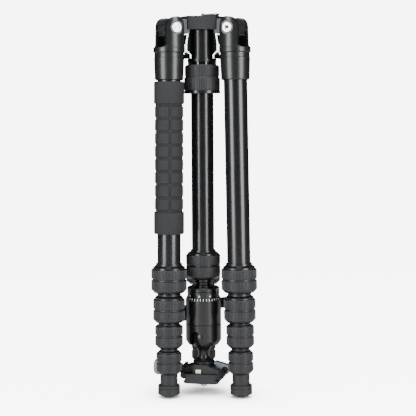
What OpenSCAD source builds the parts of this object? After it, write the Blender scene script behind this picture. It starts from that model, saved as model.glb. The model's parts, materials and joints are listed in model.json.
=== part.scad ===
// Travel tripod folded back on itself: three five-section legs swung up round the
// centre column and its ball head, standing on the three rubber feet.
// Every size is in millimetres. +Z is up and the floor is Z = 0.

/* [Leg tubes] */
// Outer diameter of the widest leg tube
leg_tube_d = 25; // [24.5:0.5:27]
// Drop in diameter from one tube to the next one inside it
tube_step = 3; // [2.8:0.1:3.4]
// Wall of every leg tube and column tube
tube_wall = 1.3; // [1.1:0.05:1.35]
// Bare length of the top tube, from the shoulder to its lower ring
top_tube_show = 195.4; // [120:0.1:260]
// Lean of each folded leg away from the column in degrees: left, right, rear
splays = [0.55, 1, 0.55]; // [0.2:0.05:1.5]

/* [Twist locks of the legs] */
// Length of the flared ring above each lock, top to bottom
ferrule_h = [6, 5.9, 2.6, 4.1]; // [2:0.1:9]
// Diameter of each locking collar over its ribs
collar_d = [38.3, 34.3, 30.1, 27.4]; // [27:0.1:42]
// Length of each locking collar
collar_h = [25.5, 25.3, 23.9, 23.1]; // [20:0.1:30]
// Space left between a collar and the ring below it
collar_gap = 1.2; // [0.4:0.1:4]
// How much narrower the flared ring is than its collar, on the radius
ferrule_inset = 1.95; // [1:0.05:2.4]
// Wall of the threaded neck inside a collar
neck_wall = 1.6; // [1:0.1:2]
// Place of the groove down a collar, as a share of its length
groove_share = 0.44; // [0.35:0.01:0.6]
// Depth of the groove round a collar
groove_depth = 1.1; // [0.5:0.1:1.6]
// Width of that groove
groove_w = 2.6; // [1:0.1:4]
// Bevel at the lower end of a collar
collar_bevel = 3.3; // [1:0.1:4]
// Thickness of the inward lip at the lower end of a collar
lip_h = 4; // [2:0.1:6]

/* [Shoulders] */
// Distance from the column axis to each leg's pivot
pivot_r = 38.5; // [37:0.1:44]
// How far the leg's axis lies outside its pivot
leg_offset = 1.4; // [0.5:0.1:2.5]
// Radius of the band round the rim of the shoulder cup
cup_r = 16.8; // [16.4:0.1:18]
// How much the cup narrows below that band
cup_step = 0.8; // [0.2:0.1:1.2]
// Radius of the shoulder cup at its lower end
cup_end_r = 15.1; // [14.8:0.1:15.6]
// Drop from the pivot to the rim of the cup
rim_drop = 20.3; // [19.6:0.1:24]
// Length of the cup below its rim
cup_h = 34.4; // [28:0.1:45]
// Radius of the round top of each ear
ear_r = 11; // [10:0.1:12]
// Rise of the middle of that round above the pivot
ear_lift = 0.4; // [0:0.1:1.5]
// Radius of the ears' rounded outer faces at the top
ear_top_r = 16.2; // [14.6:0.1:16.4]
// Distance from the leg's middle to the flat outer face of an ear
ear_out = 14.4; // [13.6:0.1:15]
// Half the width of the slot between the ears
slot_half = 9; // [8:0.1:9.5]
// Radius of the pivot bolt
bolt_r = 3; // [2:0.1:4]
// Radius of the pivot bolt's head
bolt_head_r = 5.5; // [4.2:0.1:5.8]
// Thickness of the pivot bolt's head
bolt_head_h = 2.1; // [1.5:0.1:2.4]

/* [Angle stops] */
// Radius of the round boss that a leg swings on
boss_r = 10; // [9:0.1:10.4]
// Height of the stop teeth on the boss
stop_h = 2.1; // [1:0.1:2.3]
// Thickness of a stop tooth
stop_t = 1.7; // [1:0.1:2.5]
// Leg swings at which the sliding tab meets a stop tooth, in degrees
stop_swings = [98, 125, 156]; // [90:1:170]
// Travel of the sliding tab
tab_travel = 3; // [2:0.1:3.1]
// Thickness of the tab's bright bent sheet
tab_sheet = 1.5; // [1.2:0.1:2.2]
// Distance from the pivot's upright to the upper end of the sheet
tab_top_in = 16.8; // [16.4:0.1:17.4]
// Distance from the pivot's upright to the bend of the sheet
tab_bend_in = 14.8; // [14.6:0.1:15.4]
// Distance from the pivot's upright to the end of the finger piece
tab_finger_in = 20.6; // [20.5:0.1:22]
// Depth of the finger piece
tab_finger_h = 4; // [3:0.1:5]

/* [Feet and grip] */
// Diameter of the rubber foot's sleeve
foot_sleeve_d = 18.6; // [16:0.1:20]
// Length of the sleeve
foot_sleeve_h = 11.3; // [8:0.1:16]
// Diameter of the foot's rim
foot_rim_d = 23.7; // [21:0.1:26]
// Height of the rim
foot_rim_h = 10.5; // [6:0.1:14]
// Height of the cone under the rim
foot_cone_h = 3.7; // [2:0.1:6]
// Radius of the flat under the cone
foot_tip_r = 4.2; // [3:0.1:6]
// Length of the foam grip on the left leg
grip_len = 162; // [120:0.1:180]
// Radius of the grip's plain ends
grip_end_r = 16.15; // [14.5:0.05:17]
// Length of each plain end
grip_end_h = 25; // [15:0.1:35]
// Radius of the grip over its pads
grip_pad_r = 15.2; // [14.4:0.05:16]
// Rows of pads along the grip
grip_rows = 8; // [5:1:10]
// Pads round the grip
grip_columns = 6; // [5:1:8]
// Turn of the pads about the leg, in degrees
grip_turn = 6; // [0:1:59]
// Width of the grooves between pads
grip_groove_w = 2.6; // [1:0.1:3.4]
// Depth of those grooves
grip_groove_h = 1.1; // [0.5:0.1:1.6]

/* [Spider] */
// Height of the hub block
hub_h = 14; // [12:0.1:20]
// Rise of the hub's top above the leg pivots
hub_rise = 13; // [10:0.1:14]
// Distance from the column axis to the hub's long faces
hub_face = 20; // [18:0.1:21]
// Width of the hub's long faces
hub_face_w = 29.4; // [26:0.1:31]
// Radius of the sleeve below the hub
sleeve_r = 13.7; // [13.6:0.1:15]
// Length of the sleeve down to its flange
sleeve_h = 30.6; // [20:0.1:36]
// Radius of that flange
flange_r = 15.5; // [14:0.1:16]
// Height of that flange
flange_h = 3.2; // [2:0.1:6]
// Length of the nose seen between the flange and the upper ring
nose_show = 3.3; // [0.5:0.1:6]
// Radius of the upper ring of the column lock
upper_ring_r = 18.6; // [16:0.1:20]
// Length of the upper ring
upper_ring_h = 12.7; // [9:0.1:18]
// Radius of the lower ring of the column lock
lower_ring_r = 19.4; // [16:0.1:20.5]
// Length of the lower ring
lower_ring_h = 14.6; // [10:0.1:20]
// Radius of the thin end flange under the rings
end_flange_r = 19.6; // [16:0.1:20.6]
// Thickness of that end flange
end_flange_h = 2.8; // [2:0.1:5]

/* [Centre column] */
// Outer diameter of the upper column tube
column_d = 24.3; // [24:0.1:24.8]
// Length of the upper column tube down to its lower ring
column_len = 250; // [200:0.1:300]
// Length of the flared ring above the column's twist lock
column_ferrule_h = 4.7; // [3:0.1:8]
// Diameter of the column's locking collar over its ribs
column_collar_d = 37.4; // [34:0.1:39]
// Length of the column's locking collar
column_collar_h = 26.6; // [20:0.1:30]
// Radius of the mounting boss that carries the head
mount_r = 10.95; // [10.7:0.05:12]
// Length of the mounting boss
mount_h = 8.7; // [6:0.1:14]
// Radius of the threaded stud in the head (3/8 inch)
stud_r = 4.76; // [4:0.01:5]
// Diameter of the wire of the bag hook
hook_wire_d = 2.4; // [1.8:0.1:3]
// Length of the bag hook from its hinge
hook_len = 17.6; // [14:0.1:20]
// Width of the bag hook between the middles of its sides
hook_w = 13; // [10:0.1:16]

/* [Ball head] */
// Radius of the head's fixed base
base_r = 17.55; // [16:0.05:19]
// Height of the head's fixed base
base_h = 10.5; // [7:0.1:14]
// Radius of the head's body
body_r = 19.5; // [19:0.1:22]
// Height of the head's body
body_h = 53; // [48:0.1:60]
// Radius of the ball
ball_r = 14; // [13:0.1:15]
// Height of the ball's middle above the body's mouth
ball_rise = 7.7; // [6:0.1:9]
// Radius of the neck at its waist
neck_r = 6.2; // [4.5:0.1:6.4]
// Length of the neck, from the body's mouth to the clamp
neck_h = 18.3; // [16:0.1:26]
// Half the width of the drop notch
notch_r = 8.3; // [7:0.1:8.6]
// Direction of the drop notch, in degrees from +X
notch_azimuth = 244; // [180:1:300]
// Radius of the ball lock knob
lock_knob_r = 9; // [7:0.1:10]
// Length of the ball lock knob
lock_knob_h = 15; // [8:0.1:17]
// Radius of the pan lock knob
pan_knob_r = 6; // [4:0.1:8]
// Length of the pan lock knob
pan_knob_h = 11; // [6:0.1:15]

/* [Clamp and plate] */
// Turn of the clamp about the column, in degrees
clamp_turn = -11; // [-14:0.5:-9]
// Length of the clamp along the plate
clamp_len = 34; // [30:0.1:38]
// Width of the clamp's middle block
block_w = 17; // [14:0.1:18]
// Height of the clamp's middle block
block_h = 9.2; // [8.6:0.1:12]
// Radius of the round pad under the neck
clamp_pad_r = 11.6; // [10:0.1:13]
// Height of that pad
clamp_pad_h = 2.2; // [1:0.1:4]
// Thickness of the jaws' outer walls
jaw_wall = 4.9; // [4:0.1:6]
// Opening travel of the moving jaw
jaw_travel = 2.4; // [1:0.1:2.6]
// Radius of the clamp's tie rod
rod_r = 2.4; // [1.5:0.1:2.5]
// Radius of the clamp's tension knob
tension_knob_r = 9; // [7:0.1:9.5]
// Length of the tension knob
tension_knob_h = 15; // [10:0.1:17]
// Distance from the column axis to the tension knob's outer end
tension_knob_out = 55.5; // [50:0.1:57]
// Radius of the cam at the lever's pivot
cam_r = 5.6; // [4:0.1:5.7]
// Width of the lever
lever_w = 8.4; // [7.6:0.1:9]
// Length of the lever from its pivot to its tip
lever_len = 14.2; // [11:0.1:15]
// Thickness of each side of the forked lever
lever_side = 1.8; // [1:0.1:2]
// Width of the plate's dovetail
plate_w = 38; // [37:0.1:39]
// Length of the plate
plate_len = 42; // [38:0.1:46]
// Height of the plate without its pad
plate_h = 9.1; // [8:0.1:12]
// Thickness of the plate's rubber pad
plate_pad_h = 1.2; // [0.6:0.1:2]
// Radius of the camera screw's thread (1/4 inch)
camera_screw_r = 3.175; // [3:0.005:3.3]
// How far the camera screw stands out of the pad
camera_screw_out = 6.7; // [4:0.1:8]
// Radius of the small bubble level
level_r = 2.2; // [1.5:0.1:2.4]
// Length of the bubble level
level_len = 5.4; // [4:0.1:8]

/* [Hidden] */
$fn = 48;

// Clearances: seat between still pieces, turn between turning faces, fit round a shaft
seat_gap = 0.3;
turn_gap = 0.1;
shaft_gap = 0.05;
pin_gap = 0.02;
thread_gap = 0.1;
// Overrun of every cut past the face it opens
cut = 1;

// Leg directions: left, right and rear, in degrees from +X
leg_azimuths = [210, 330, 90];

// Heights along a leg, measured down from its pivot
cup_end = rim_drop + cup_h;
socket_wall = 10.2;
socket_top = rim_drop + socket_wall;
tube_stagger = 2;
ferrule_tops = [for (i = [0:3]) cup_end + top_tube_show + lock_run(i)];
collar_tops = [for (i = [0:3]) ferrule_tops[i] + ferrule_h[i]];
collar_ends = [for (i = [0:3]) collar_tops[i] + collar_h[i]];
foot_top = collar_ends[3] + seat_gap;
foot_h = foot_sleeve_h + foot_rim_h + foot_cone_h;
leg_len = foot_top + foot_h;
foot_socket_h = 14;

// Height of the pivots that puts the lowest edge of each foot on the floor
pivot_z = max([for (a = splays) leg_len * cos(a) + (foot_tip_r - leg_offset) * sin(a)]);

// Distance from the column axis to the widest collar of each leg, and the place of the
// axis that puts the middle of the bounding box over the origin
reach = [for (a = splays) pivot_r + leg_offset + (collar_ends[0] - collar_bevel) * sin(a)];
column_x = (reach[0] - reach[1]) * cos(leg_azimuths[2] - 60) / 2;
column_y = (max(reach[0], reach[1]) / 2 - reach[2]) / 2;

// Heights down the middle of the tripod
hub_top = pivot_z + hub_rise;
hub_bottom = hub_top - hub_h;
cap_recess = 1.2;
flange_top = hub_bottom - sleeve_h;
ring_bevel = 1.2;
rings_top = flange_top - flange_h - nose_show;
upper_ring_bottom = rings_top - upper_ring_h;
lower_ring_bottom = upper_ring_bottom - turn_gap - lower_ring_h;
end_flange_top = lower_ring_bottom - turn_gap;
end_flange_bottom = end_flange_top - end_flange_h;
column_r = column_d / 2;
inner_column_r = column_r - tube_step / 2;
column_top = hub_top - cap_recess;
column_ferrule_top = column_top - column_len;
column_collar_top = column_ferrule_top - column_ferrule_h;
column_collar_bottom = column_collar_top - column_collar_h;
mount_top = column_collar_bottom - seat_gap;
mount_bottom = mount_top - mount_h;
body_top = mount_bottom - base_h - turn_gap;
body_bottom = body_top - body_h;
ball_z = body_bottom + ball_rise;
clamp_top = body_bottom - neck_h;
block_top = clamp_top - clamp_pad_h;
block_bottom = block_top - block_h;
plate_top = block_bottom - seat_gap;
plate_bottom = plate_top - plate_h;
pad_bottom = plate_bottom - plate_pad_h;
rod_z = plate_top + seat_gap + rod_r;
cap_plug_h = 8;

// Shares of other sizes: cup band and its recess, bay, spot face, pawl, arm, body groove, clamp
band_share = 0.15;
recess_share = 0.31;
bay_share = 0.75;
spot_share = 0.68;
pawl_share = 1.2;
bar_low_share = 0.55;
bar_high_share = 0.95;
body_groove_share = 0.435;
corner_share = 1;
screw_neck_share = 0.75;

// Drop from the pivot to the floor of the bay that the tab's base rides in
bay_drop = rim_drop + socket_wall * bay_share;
// Depth of the seat for a bolt's head in an ear
head_seat = bolt_head_h - seat_gap;
// Distance from the pivot's upright to the base of the sliding tab
tab_base_in = 8;
// Direction of the trailing edge of the tab's pawl when its leg is folded
pawl_edge = 224;

rubber = "#3c3c3e";
ribbed = "#47484b";
black_metal = "#232427";
casting = "#2d2e31";
bright = "#c9ccd0";
grey_metal = "#b9bec3";

// Length of the locks above lock i, with the gap under each
function lock_run(i) =
    i == 0 ? 0 : lock_run(i - 1) + ferrule_h[i - 1] + collar_h[i - 1] + collar_gap;

// Outer radius of leg tube i, counted from 0 at the top
function tube_r(i) = (leg_tube_d - i * tube_step) / 2;

// Distance of the top end of leg tube i below the pivot
function tube_top(i) = socket_top + turn_gap + i * tube_stagger;

// Places children in the middle frame: the column axis upright over the floor
module on_column() {
    translate([column_x, column_y, 0]) children();
}

// Places children in the frame of leg i: pivot at the origin, +X away from the column,
// Y along the pivot bolt, the folded leg hanging down -Z
module on_leg(i) {
    on_column()
        rotate([0, 0, leg_azimuths[i]])
            translate([pivot_r, 0, pivot_z])
                rotate([0, -splays[i], 0])
                    children();
}

// Places children in the clamp's frame: X along the tie rod, Y along the plate
module on_clamp() {
    on_column() rotate([0, 0, clamp_turn]) children();
}

// Solid of revolution about the leg's own axis from points of radius and drop
module leg_revolve(points) {
    translate([leg_offset, 0, 0])
        rotate_extrude() polygon([for (p = points) [p[0], -p[1]]]);
}

// Extrudes an outline drawn in X and Z along Y, centred
module extrude_y(width) {
    rotate([90, 0, 0]) linear_extrude(width, center = true) children();
}

// Outline of a locking collar: radius and drop, ribs left to the finish
function collar_outline(r, bore, lip_bore, top, h) = let (
    end = top + h,
    mid = top + h * groove_share,
    g = groove_w / 2,
    slope = groove_depth / 2,
    edge = thread_gap * 4
) [
    [bore, top],
    [r - edge, top], [r, top + edge],
    [r, mid - g], [r - groove_depth, mid - g + slope],
    [r - groove_depth, mid + g - slope], [r, mid + g],
    [r, end - collar_bevel], [r - collar_bevel, end],
    [lip_bore, end], [lip_bore, end - lip_h], [bore, end - lip_h],
];

// Outline of a plain tube: radius and drop
function tube_outline(r, top, end) =
    [[r - tube_wall, top], [r, top], [r, end], [r - tube_wall, end]];

// Outline of the fitting bonded on a tube's end, flared ring above and threaded neck below
function fitting_outline(r, ring_top, ring_h, ring_r, neck_end) = let (
    ring_end = ring_top + ring_h - turn_gap,
    step_r = r + neck_wall
) [
    [r + pin_gap, ring_top], [step_r, ring_top], [step_r, ring_top + ring_h / 3],
    [ring_r, ring_top + ring_h * 2 / 3], [ring_r, ring_end],
    [step_r, ring_end], [step_r, neck_end], [r + pin_gap, neck_end],
];

// Leg tube i of the top four, with the ring and neck of the lock at its lower end
module leg_tube(i) {
    neck_end = collar_ends[i] - lip_h - turn_gap;
    color(black_metal) {
        leg_revolve(tube_outline(tube_r(i), tube_top(i), neck_end));
        leg_revolve(fitting_outline(
            tube_r(i), ferrule_tops[i], ferrule_h[i], collar_d[i] / 2 - ferrule_inset,
            neck_end));
    }
}

// The narrowest leg tube, which ends in the foot
module last_tube() {
    color(black_metal)
        leg_revolve(tube_outline(tube_r(4), tube_top(4), foot_top + foot_socket_h - pin_gap));
}

// Locking collar i, screwed on the neck of tube i
module leg_collar(i) {
    color(ribbed)
        leg_revolve(collar_outline(
            collar_d[i] / 2, tube_r(i) + neck_wall + thread_gap,
            tube_r(i + 1) + thread_gap, collar_tops[i], collar_h[i]));
}

// Rubber foot: sleeve, rim with a line round it, cone and flat
module foot() {
    sleeve_r = foot_sleeve_d / 2;
    rim_r = foot_rim_d / 2;
    socket_r = tube_r(4) + pin_gap;
    rim_top = foot_top + foot_sleeve_h;
    line = rim_top + foot_rim_h * 0.37;
    bead = foot_rim_h * 0.04;
    color(rubber)
        leg_revolve([
            [socket_r, foot_top], [sleeve_r, foot_top], [sleeve_r, rim_top],
            [rim_r - bead * 2, rim_top + bead], [rim_r, rim_top + bead * 3],
            [rim_r, line - bead], [rim_r - bead, line], [rim_r, line + bead],
            [rim_r, leg_len - foot_cone_h], [foot_tip_r, leg_len],
            [0, leg_len], [0, foot_top + foot_socket_h],
            [socket_r, foot_top + foot_socket_h],
        ]);
}

// Foam grip: two plain ends and rows of raised pads between them
module grip() {
    start = cup_end + collar_gap + seat_gap;
    pads_len = grip_len - 2 * grip_end_h;
    pitch = pads_len / grip_rows;
    half = grip_groove_w / 2;
    low_r = grip_pad_r - grip_groove_h;
    bore = tube_r(0) + pin_gap;
    first = start + grip_end_h;
    rows = [for (k = [0:grip_rows]) let (at = first + k * pitch) each [
        [k == 0 ? grip_end_r : grip_pad_r, at - half], [low_r, at - half],
        [low_r, at + half], [k == grip_rows ? grip_end_r : grip_pad_r, at + half],
    ]];
    color(ribbed)
        difference() {
            leg_revolve(concat(
                [[bore, start], [grip_end_r, start]],
                rows,
                [[grip_end_r, start + grip_len], [bore, start + grip_len]]));
            for (k = [0:grip_columns - 1])
                translate([leg_offset, 0, 0])
                    rotate([0, 0, grip_turn + k * 360 / grip_columns])
                        translate([low_r, -half, -(first + pads_len)])
                            cube([grip_end_r, grip_groove_w, pads_len]);
        }
}

// Outline of an ear in X and Z: round top, straight sides and fillets on the rim
module ear_outline() {
    fillet = ear_r / 3;
    translate([0, ear_lift]) circle(r = ear_r);
    translate([-ear_r, -rim_drop - fillet]) square([2 * ear_r, rim_drop + fillet + ear_lift]);
    for (side = [-1, 1])
        difference() {
            translate([side * ear_r, -rim_drop]) square(2 * fillet, center = true);
            translate([side * (ear_r + fillet), -rim_drop + fillet]) circle(r = fillet);
        }
}

// Forked shoulder casting: a cup for the top tube and two ears on the pivot bolt
module shoulder() {
    edge = cup_step;
    top = ear_r + ear_lift + cut;
    bay_x = -tab_base_in + tab_travel + seat_gap;
    color(casting)
        difference() {
            union() {
                leg_revolve([
                    [0, rim_drop], [cup_r - edge, rim_drop], [cup_r, rim_drop + edge],
                    [cup_r, rim_drop + cup_h * band_share],
                    [cup_r - cup_step * 1.5, rim_drop + cup_h * band_share + cup_step],
                    [cup_r - cup_step * 1.5, rim_drop + cup_h * recess_share],
                    [cup_r - cup_step, rim_drop + cup_h * recess_share + cup_step / 2],
                    [cup_end_r, cup_end - edge], [cup_end_r - edge, cup_end], [0, cup_end],
                ]);
                intersection() {
                    extrude_y(3 * cup_r) ear_outline();
                    leg_revolve([
                        [0, -top], [ear_top_r, -top], [ear_top_r, 0], [cup_r, rim_drop],
                        [cup_r - edge / 2, rim_drop + 2 * edge], [0, rim_drop + 2 * edge],
                    ]);
                }
            }
            translate([-2 * cup_r, -slot_half, -rim_drop])
                cube([4 * cup_r, 2 * slot_half, rim_drop + top]);
            translate([-2 * cup_r, -slot_half, -bay_drop])
                cube([2 * cup_r + bay_x, 2 * slot_half, bay_drop]);
            extrude_y(4 * ear_out) circle(r = bolt_r + shaft_gap);
            for (side = [-1, 1])
                rotate([-90 * side, 0, 0]) {
                    translate([0, 0, ear_out])
                        cylinder(r = ear_r * spot_share, h = cup_r);
                    translate([0, 0, ear_out - head_seat])
                        cylinder(r = bolt_head_r + seat_gap, h = cup_r);
                }
            translate([leg_offset, 0, -cup_end - cut])
                cylinder(r = tube_r(0) + pin_gap, h = cup_end + cut - socket_top);
        }
}

// Sliding tab: a bent bright sheet with a finger piece, a base that rides in the bay of the
// shoulder, and the pawl that drops among the stop teeth of the boss
module angle_tab() {
    pawl_drop = boss_r - seat_gap * 2;
    pawl_in = tab_base_in + seat_gap * 2;
    pawl_w = tab_travel * pawl_share;
    pawl_foot = rim_drop - tab_travel;
    top_drop = boss_r * bar_low_share + seat_gap * 3;
    bend_drop = bay_drop - tab_finger_in / 4;
    finger_drop = bay_drop - tab_sheet / 3;
    color(bright)
        extrude_y(2 * (slot_half - seat_gap))
            polygon([
                [-pawl_in, -pawl_drop], [-pawl_in - pawl_w, -pawl_drop],
                [-pawl_in - pawl_w, -pawl_foot], [tab_sheet * 0.8 - tab_bend_in, -pawl_foot],
                [tab_sheet - tab_top_in, -top_drop], [-tab_top_in, -top_drop],
                [-tab_bend_in, -bend_drop], [-tab_finger_in, -finger_drop],
                [-tab_finger_in, -finger_drop - tab_finger_h],
                [tab_sheet - tab_finger_in, -finger_drop - tab_finger_h],
                [tab_sheet - tab_finger_in, seat_gap - bay_drop + tab_sheet / 8],
                [tab_sheet / 2 - tab_bend_in, -bend_drop - tab_sheet],
                [-pawl_in - pawl_w, seat_gap - bay_drop], [-tab_base_in, seat_gap - bay_drop],
                [-tab_base_in, -pawl_foot - seat_gap], [-pawl_in, -pawl_foot - seat_gap],
            ]);
}

// One arm of the spider: a bar out to a round boss with its stop teeth
module spider_arm() {
    width = 2 * (slot_half - seat_gap);
    extrude_y(width) circle(r = boss_r);
    translate([-pivot_r + hub_face, -width / 2, -boss_r * bar_low_share])
        cube([pivot_r - hub_face, width, boss_r * (bar_low_share + bar_high_share)]);
    for (swing = stop_swings)
        rotate([0, -(pawl_edge + swing), 0])
            translate([boss_r - cut, -width / 2, -stop_t / 2])
                cube([stop_h + cut, width, stop_t]);
}

// Hub, three arms, sleeve and the threaded nose that carries the lock rings
module spider() {
    half = hub_face_w / 2;
    nose_r = sleeve_r - ring_bevel / 4;
    bore_r = column_r + thread_gap;
    color(casting) {
        difference() {
            on_column() {
                translate([0, 0, hub_bottom])
                    linear_extrude(hub_h)
                        polygon([for (i = [0:2]) let (a = leg_azimuths[i] + 60) each [
                            [hub_face * cos(a) + half * sin(a), hub_face * sin(a) - half * cos(a)],
                            [hub_face * cos(a) - half * sin(a), hub_face * sin(a) + half * cos(a)],
                        ]]);
                for (a = leg_azimuths)
                    rotate([0, 0, a]) translate([pivot_r, 0, pivot_z]) spider_arm();
                translate([0, 0, flange_top])
                    cylinder(r = sleeve_r, h = hub_bottom - flange_top + cut);
                translate([0, 0, flange_top - flange_h])
                    cylinder(r = flange_r, h = flange_h);
                translate([0, 0, end_flange_top - cut])
                    cylinder(r = nose_r, h = flange_top - end_flange_top + 2 * cut);
                translate([0, 0, end_flange_bottom])
                    cylinder(r = end_flange_r, h = end_flange_h);
            }
            on_column() {
                translate([0, 0, end_flange_bottom - cut])
                    cylinder(r = bore_r, h = hub_top - end_flange_bottom + 2 * cut);
                translate([0, 0, hub_top - cap_recess])
                    cylinder(r = cap_r + seat_gap, h = cap_recess + cut);
                for (a = leg_azimuths)
                    rotate([0, 0, a])
                        translate([pivot_r, 0, pivot_z])
                            extrude_y(4 * ear_out) circle(r = bolt_r + pin_gap);
            }
        }
    }
}
// Radius of the column's end cap
cap_r = column_r + 1.2;

// Three pivot bolts with a hexagon socket at one end and a ring recess at the other
module pivot_bolts() {
    shank = 2 * (ear_out - head_seat + turn_gap);
    recess = bolt_head_h * 0.45;
    color(bright)
        on_column()
            for (a = leg_azimuths)
                rotate([0, 0, a])
                    translate([pivot_r, 0, pivot_z])
                        rotate([-90, 0, 0])
                            difference() {
                                union() {
                                    cylinder(r = bolt_r, h = shank + cut, center = true);
                                    for (side = [0, 1])
                                        mirror([0, 0, side])
                                            translate([0, 0, shank / 2])
                                                bolt_head();
                                }
                                translate([0, 0, -shank / 2 - bolt_head_h - cut])
                                    cylinder(r = bolt_head_r * 0.5, h = recess + cut, $fn = 6);
                                translate([0, 0, shank / 2 + bolt_head_h - recess])
                                    difference() {
                                        cylinder(r = bolt_head_r * 0.62, h = recess + cut);
                                        translate([0, 0, -cut])
                                            cylinder(r = bolt_head_r * 0.4, h = recess + 3 * cut);
                                    }
                            }
}

// Round head of a pivot bolt with a bevelled rim
module bolt_head() {
    bevel = bolt_head_h / 5;
    rotate_extrude()
        polygon([
            [0, 0], [bolt_head_r, 0], [bolt_head_r, bolt_head_h - bevel],
            [bolt_head_r - bevel, bolt_head_h], [0, bolt_head_h],
        ]);
}

// A ring of the column lock: bevelled at both ends and bored for the nose
module lock_ring(r, h) {
    bore = sleeve_r - ring_bevel / 4 + thread_gap;
    rotate_extrude()
        polygon([
            [bore, 0], [r - ring_bevel / 2, 0], [r, ring_bevel / 2],
            [r, h - ring_bevel], [r - ring_bevel, h], [bore, h],
        ]);
}

// Upper ring of the column lock
module column_ring_upper() {
    color(ribbed)
        on_column() translate([0, 0, upper_ring_bottom]) lock_ring(upper_ring_r, upper_ring_h);
}

// Lower ring of the column lock
module column_ring_lower() {
    color(ribbed)
        on_column() translate([0, 0, lower_ring_bottom]) lock_ring(lower_ring_r, lower_ring_h);
}

// Upper column tube with the flared ring and neck of its twist lock
module column_tube_outer() {
    neck_end = -column_collar_bottom - lip_h - turn_gap;
    color(black_metal)
        on_column()
            mirror([0, 0, 1]) {
                rotate_extrude() polygon(tube_outline(column_r, -column_top, neck_end));
                rotate_extrude()
                    polygon(fitting_outline(
                        column_r, -column_ferrule_top, column_ferrule_h,
                        column_collar_d / 2 - ferrule_inset, neck_end));
            }
}

// End cap of the column: a flange that stops on the hub, a plug and the hook's knuckle
module column_end_cap() {
    plug_r = column_r - tube_wall - pin_gap;
    color(casting)
        on_column()
            difference() {
                union() {
                    translate([0, 0, column_top + pin_gap])
                        cylinder(r = cap_r, h = cap_recess);
                    translate([0, 0, column_top - cap_plug_h])
                        cylinder(r = plug_r, h = cap_plug_h + cap_recess / 2);
                    translate([hook_x, 0, column_top])
                        extrude_y(knuckle_w) {
                            translate([-hook_wire_d, 0])
                                square([2 * hook_wire_d, hook_rise]);
                            translate([0, hook_rise]) circle(r = hook_wire_d);
                        }
                }
                translate([hook_x, 0, column_top + hook_rise])
                    extrude_y(knuckle_w + cut) circle(r = hook_wire_d / 2 + shaft_gap);
            }
}
// Height of the hook's hinge above the end of the column tube, its place and its knuckle
hook_rise = cap_recess + hook_wire_d / 2 + seat_gap;
hook_x = hook_wire_d * 0.6;
knuckle_w = hook_w / 2;
hook_tilt = 4;

// Folding bag hook: a D of round wire hinged in the knuckle of the end cap
module bag_hook() {
    wire_r = hook_wire_d / 2;
    bow_r = hook_w / 2;
    side = hook_len - bow_r - wire_r;
    color(bright)
        on_column()
            translate([hook_x, 0, column_top + hook_rise])
                rotate([0, -hook_tilt, 0]) {
                    rotate([90, 0, 0]) cylinder(r = wire_r, h = hook_w, center = true);
                    for (y = [-bow_r, bow_r])
                        translate([0, y, 0]) {
                            sphere(r = wire_r);
                            rotate([0, 90, 0]) cylinder(r = wire_r, h = side);
                        }
                    translate([side, 0, 0])
                        rotate([0, 0, -90])
                            rotate_extrude(angle = 180)
                                translate([bow_r, 0]) circle(r = wire_r);
                }
}

// Locking collar of the column
module column_collar() {
    color(ribbed)
        on_column()
            mirror([0, 0, 1])
                rotate_extrude()
                    polygon(collar_outline(
                        column_collar_d / 2, column_r + neck_wall + thread_gap,
                        inner_column_r + thread_gap, -column_collar_top, column_collar_h));
}

// Lower column tube, which slides down out of the upper one
module column_tube_inner() {
    top = column_top - cap_plug_h - tube_stagger;
    color(black_metal)
        on_column()
            translate([0, 0, mount_top])
                difference() {
                    cylinder(r = inner_column_r, h = top - mount_top);
                    translate([0, 0, -cut])
                        cylinder(r = inner_column_r - tube_wall, h = top - mount_top + 2 * cut);
                }
}

// Mounting boss on the end of the column: waisted, with a spigot and a threaded stud
module head_mount() {
    waist_r = mount_r * 0.9;
    spigot_r = inner_column_r - tube_wall - pin_gap;
    spigot_h = mount_h;
    color(casting)
        on_column()
            rotate_extrude()
                polygon([
                    [0, mount_top + spigot_h], [spigot_r, mount_top + spigot_h],
                    [spigot_r, mount_top - pin_gap], [mount_r, mount_top - pin_gap],
                    [mount_r, mount_top - mount_h * 0.3], [waist_r, mount_top - mount_h * 0.4],
                    [waist_r, mount_top - mount_h * 0.65], [mount_r, mount_top - mount_h * 0.75],
                    [mount_r, mount_bottom], [stud_r, mount_bottom],
                    [stud_r, mount_bottom - stud_h], [0, mount_bottom - stud_h],
                ]);
}
// Length of the stud, which stops short of the end of its hole
stud_h = base_h * 0.8;

// Fixed base of the head: the graduated top on a spigot that the body turns round
module pan_base() {
    bevel = base_h / 10;
    line = base_h / 18;
    line_z = mount_bottom - base_h * 0.39;
    hole_z = mount_bottom - stud_h - seat_gap;
    color(casting)
        on_column()
            rotate_extrude()
                polygon([
                    [0, spindle_end], [spindle_foot_r, spindle_end],
                    [spindle_foot_r, spindle_end + spindle_foot_h],
                    [spindle_r, spindle_end + spindle_foot_h],
                    [spindle_r, body_top + turn_gap], [base_r, body_top + turn_gap],
                    [base_r, line_z - line / 2], [base_r - line, line_z],
                    [base_r, line_z + line / 2],
                    [base_r, mount_bottom - bevel - pin_gap],
                    [base_r - bevel, mount_bottom - pin_gap],
                    [stud_r + shaft_gap, mount_bottom - pin_gap],
                    [stud_r + shaft_gap, hole_z], [0, hole_z],
                ]);
}
// Spindle of the panning base: radius, its foot and its lower end
spindle_r = stud_r + 3.2;
spindle_foot_r = spindle_r + 1.5;
spindle_foot_h = 2;
spindle_end = body_top - base_h;

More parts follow.
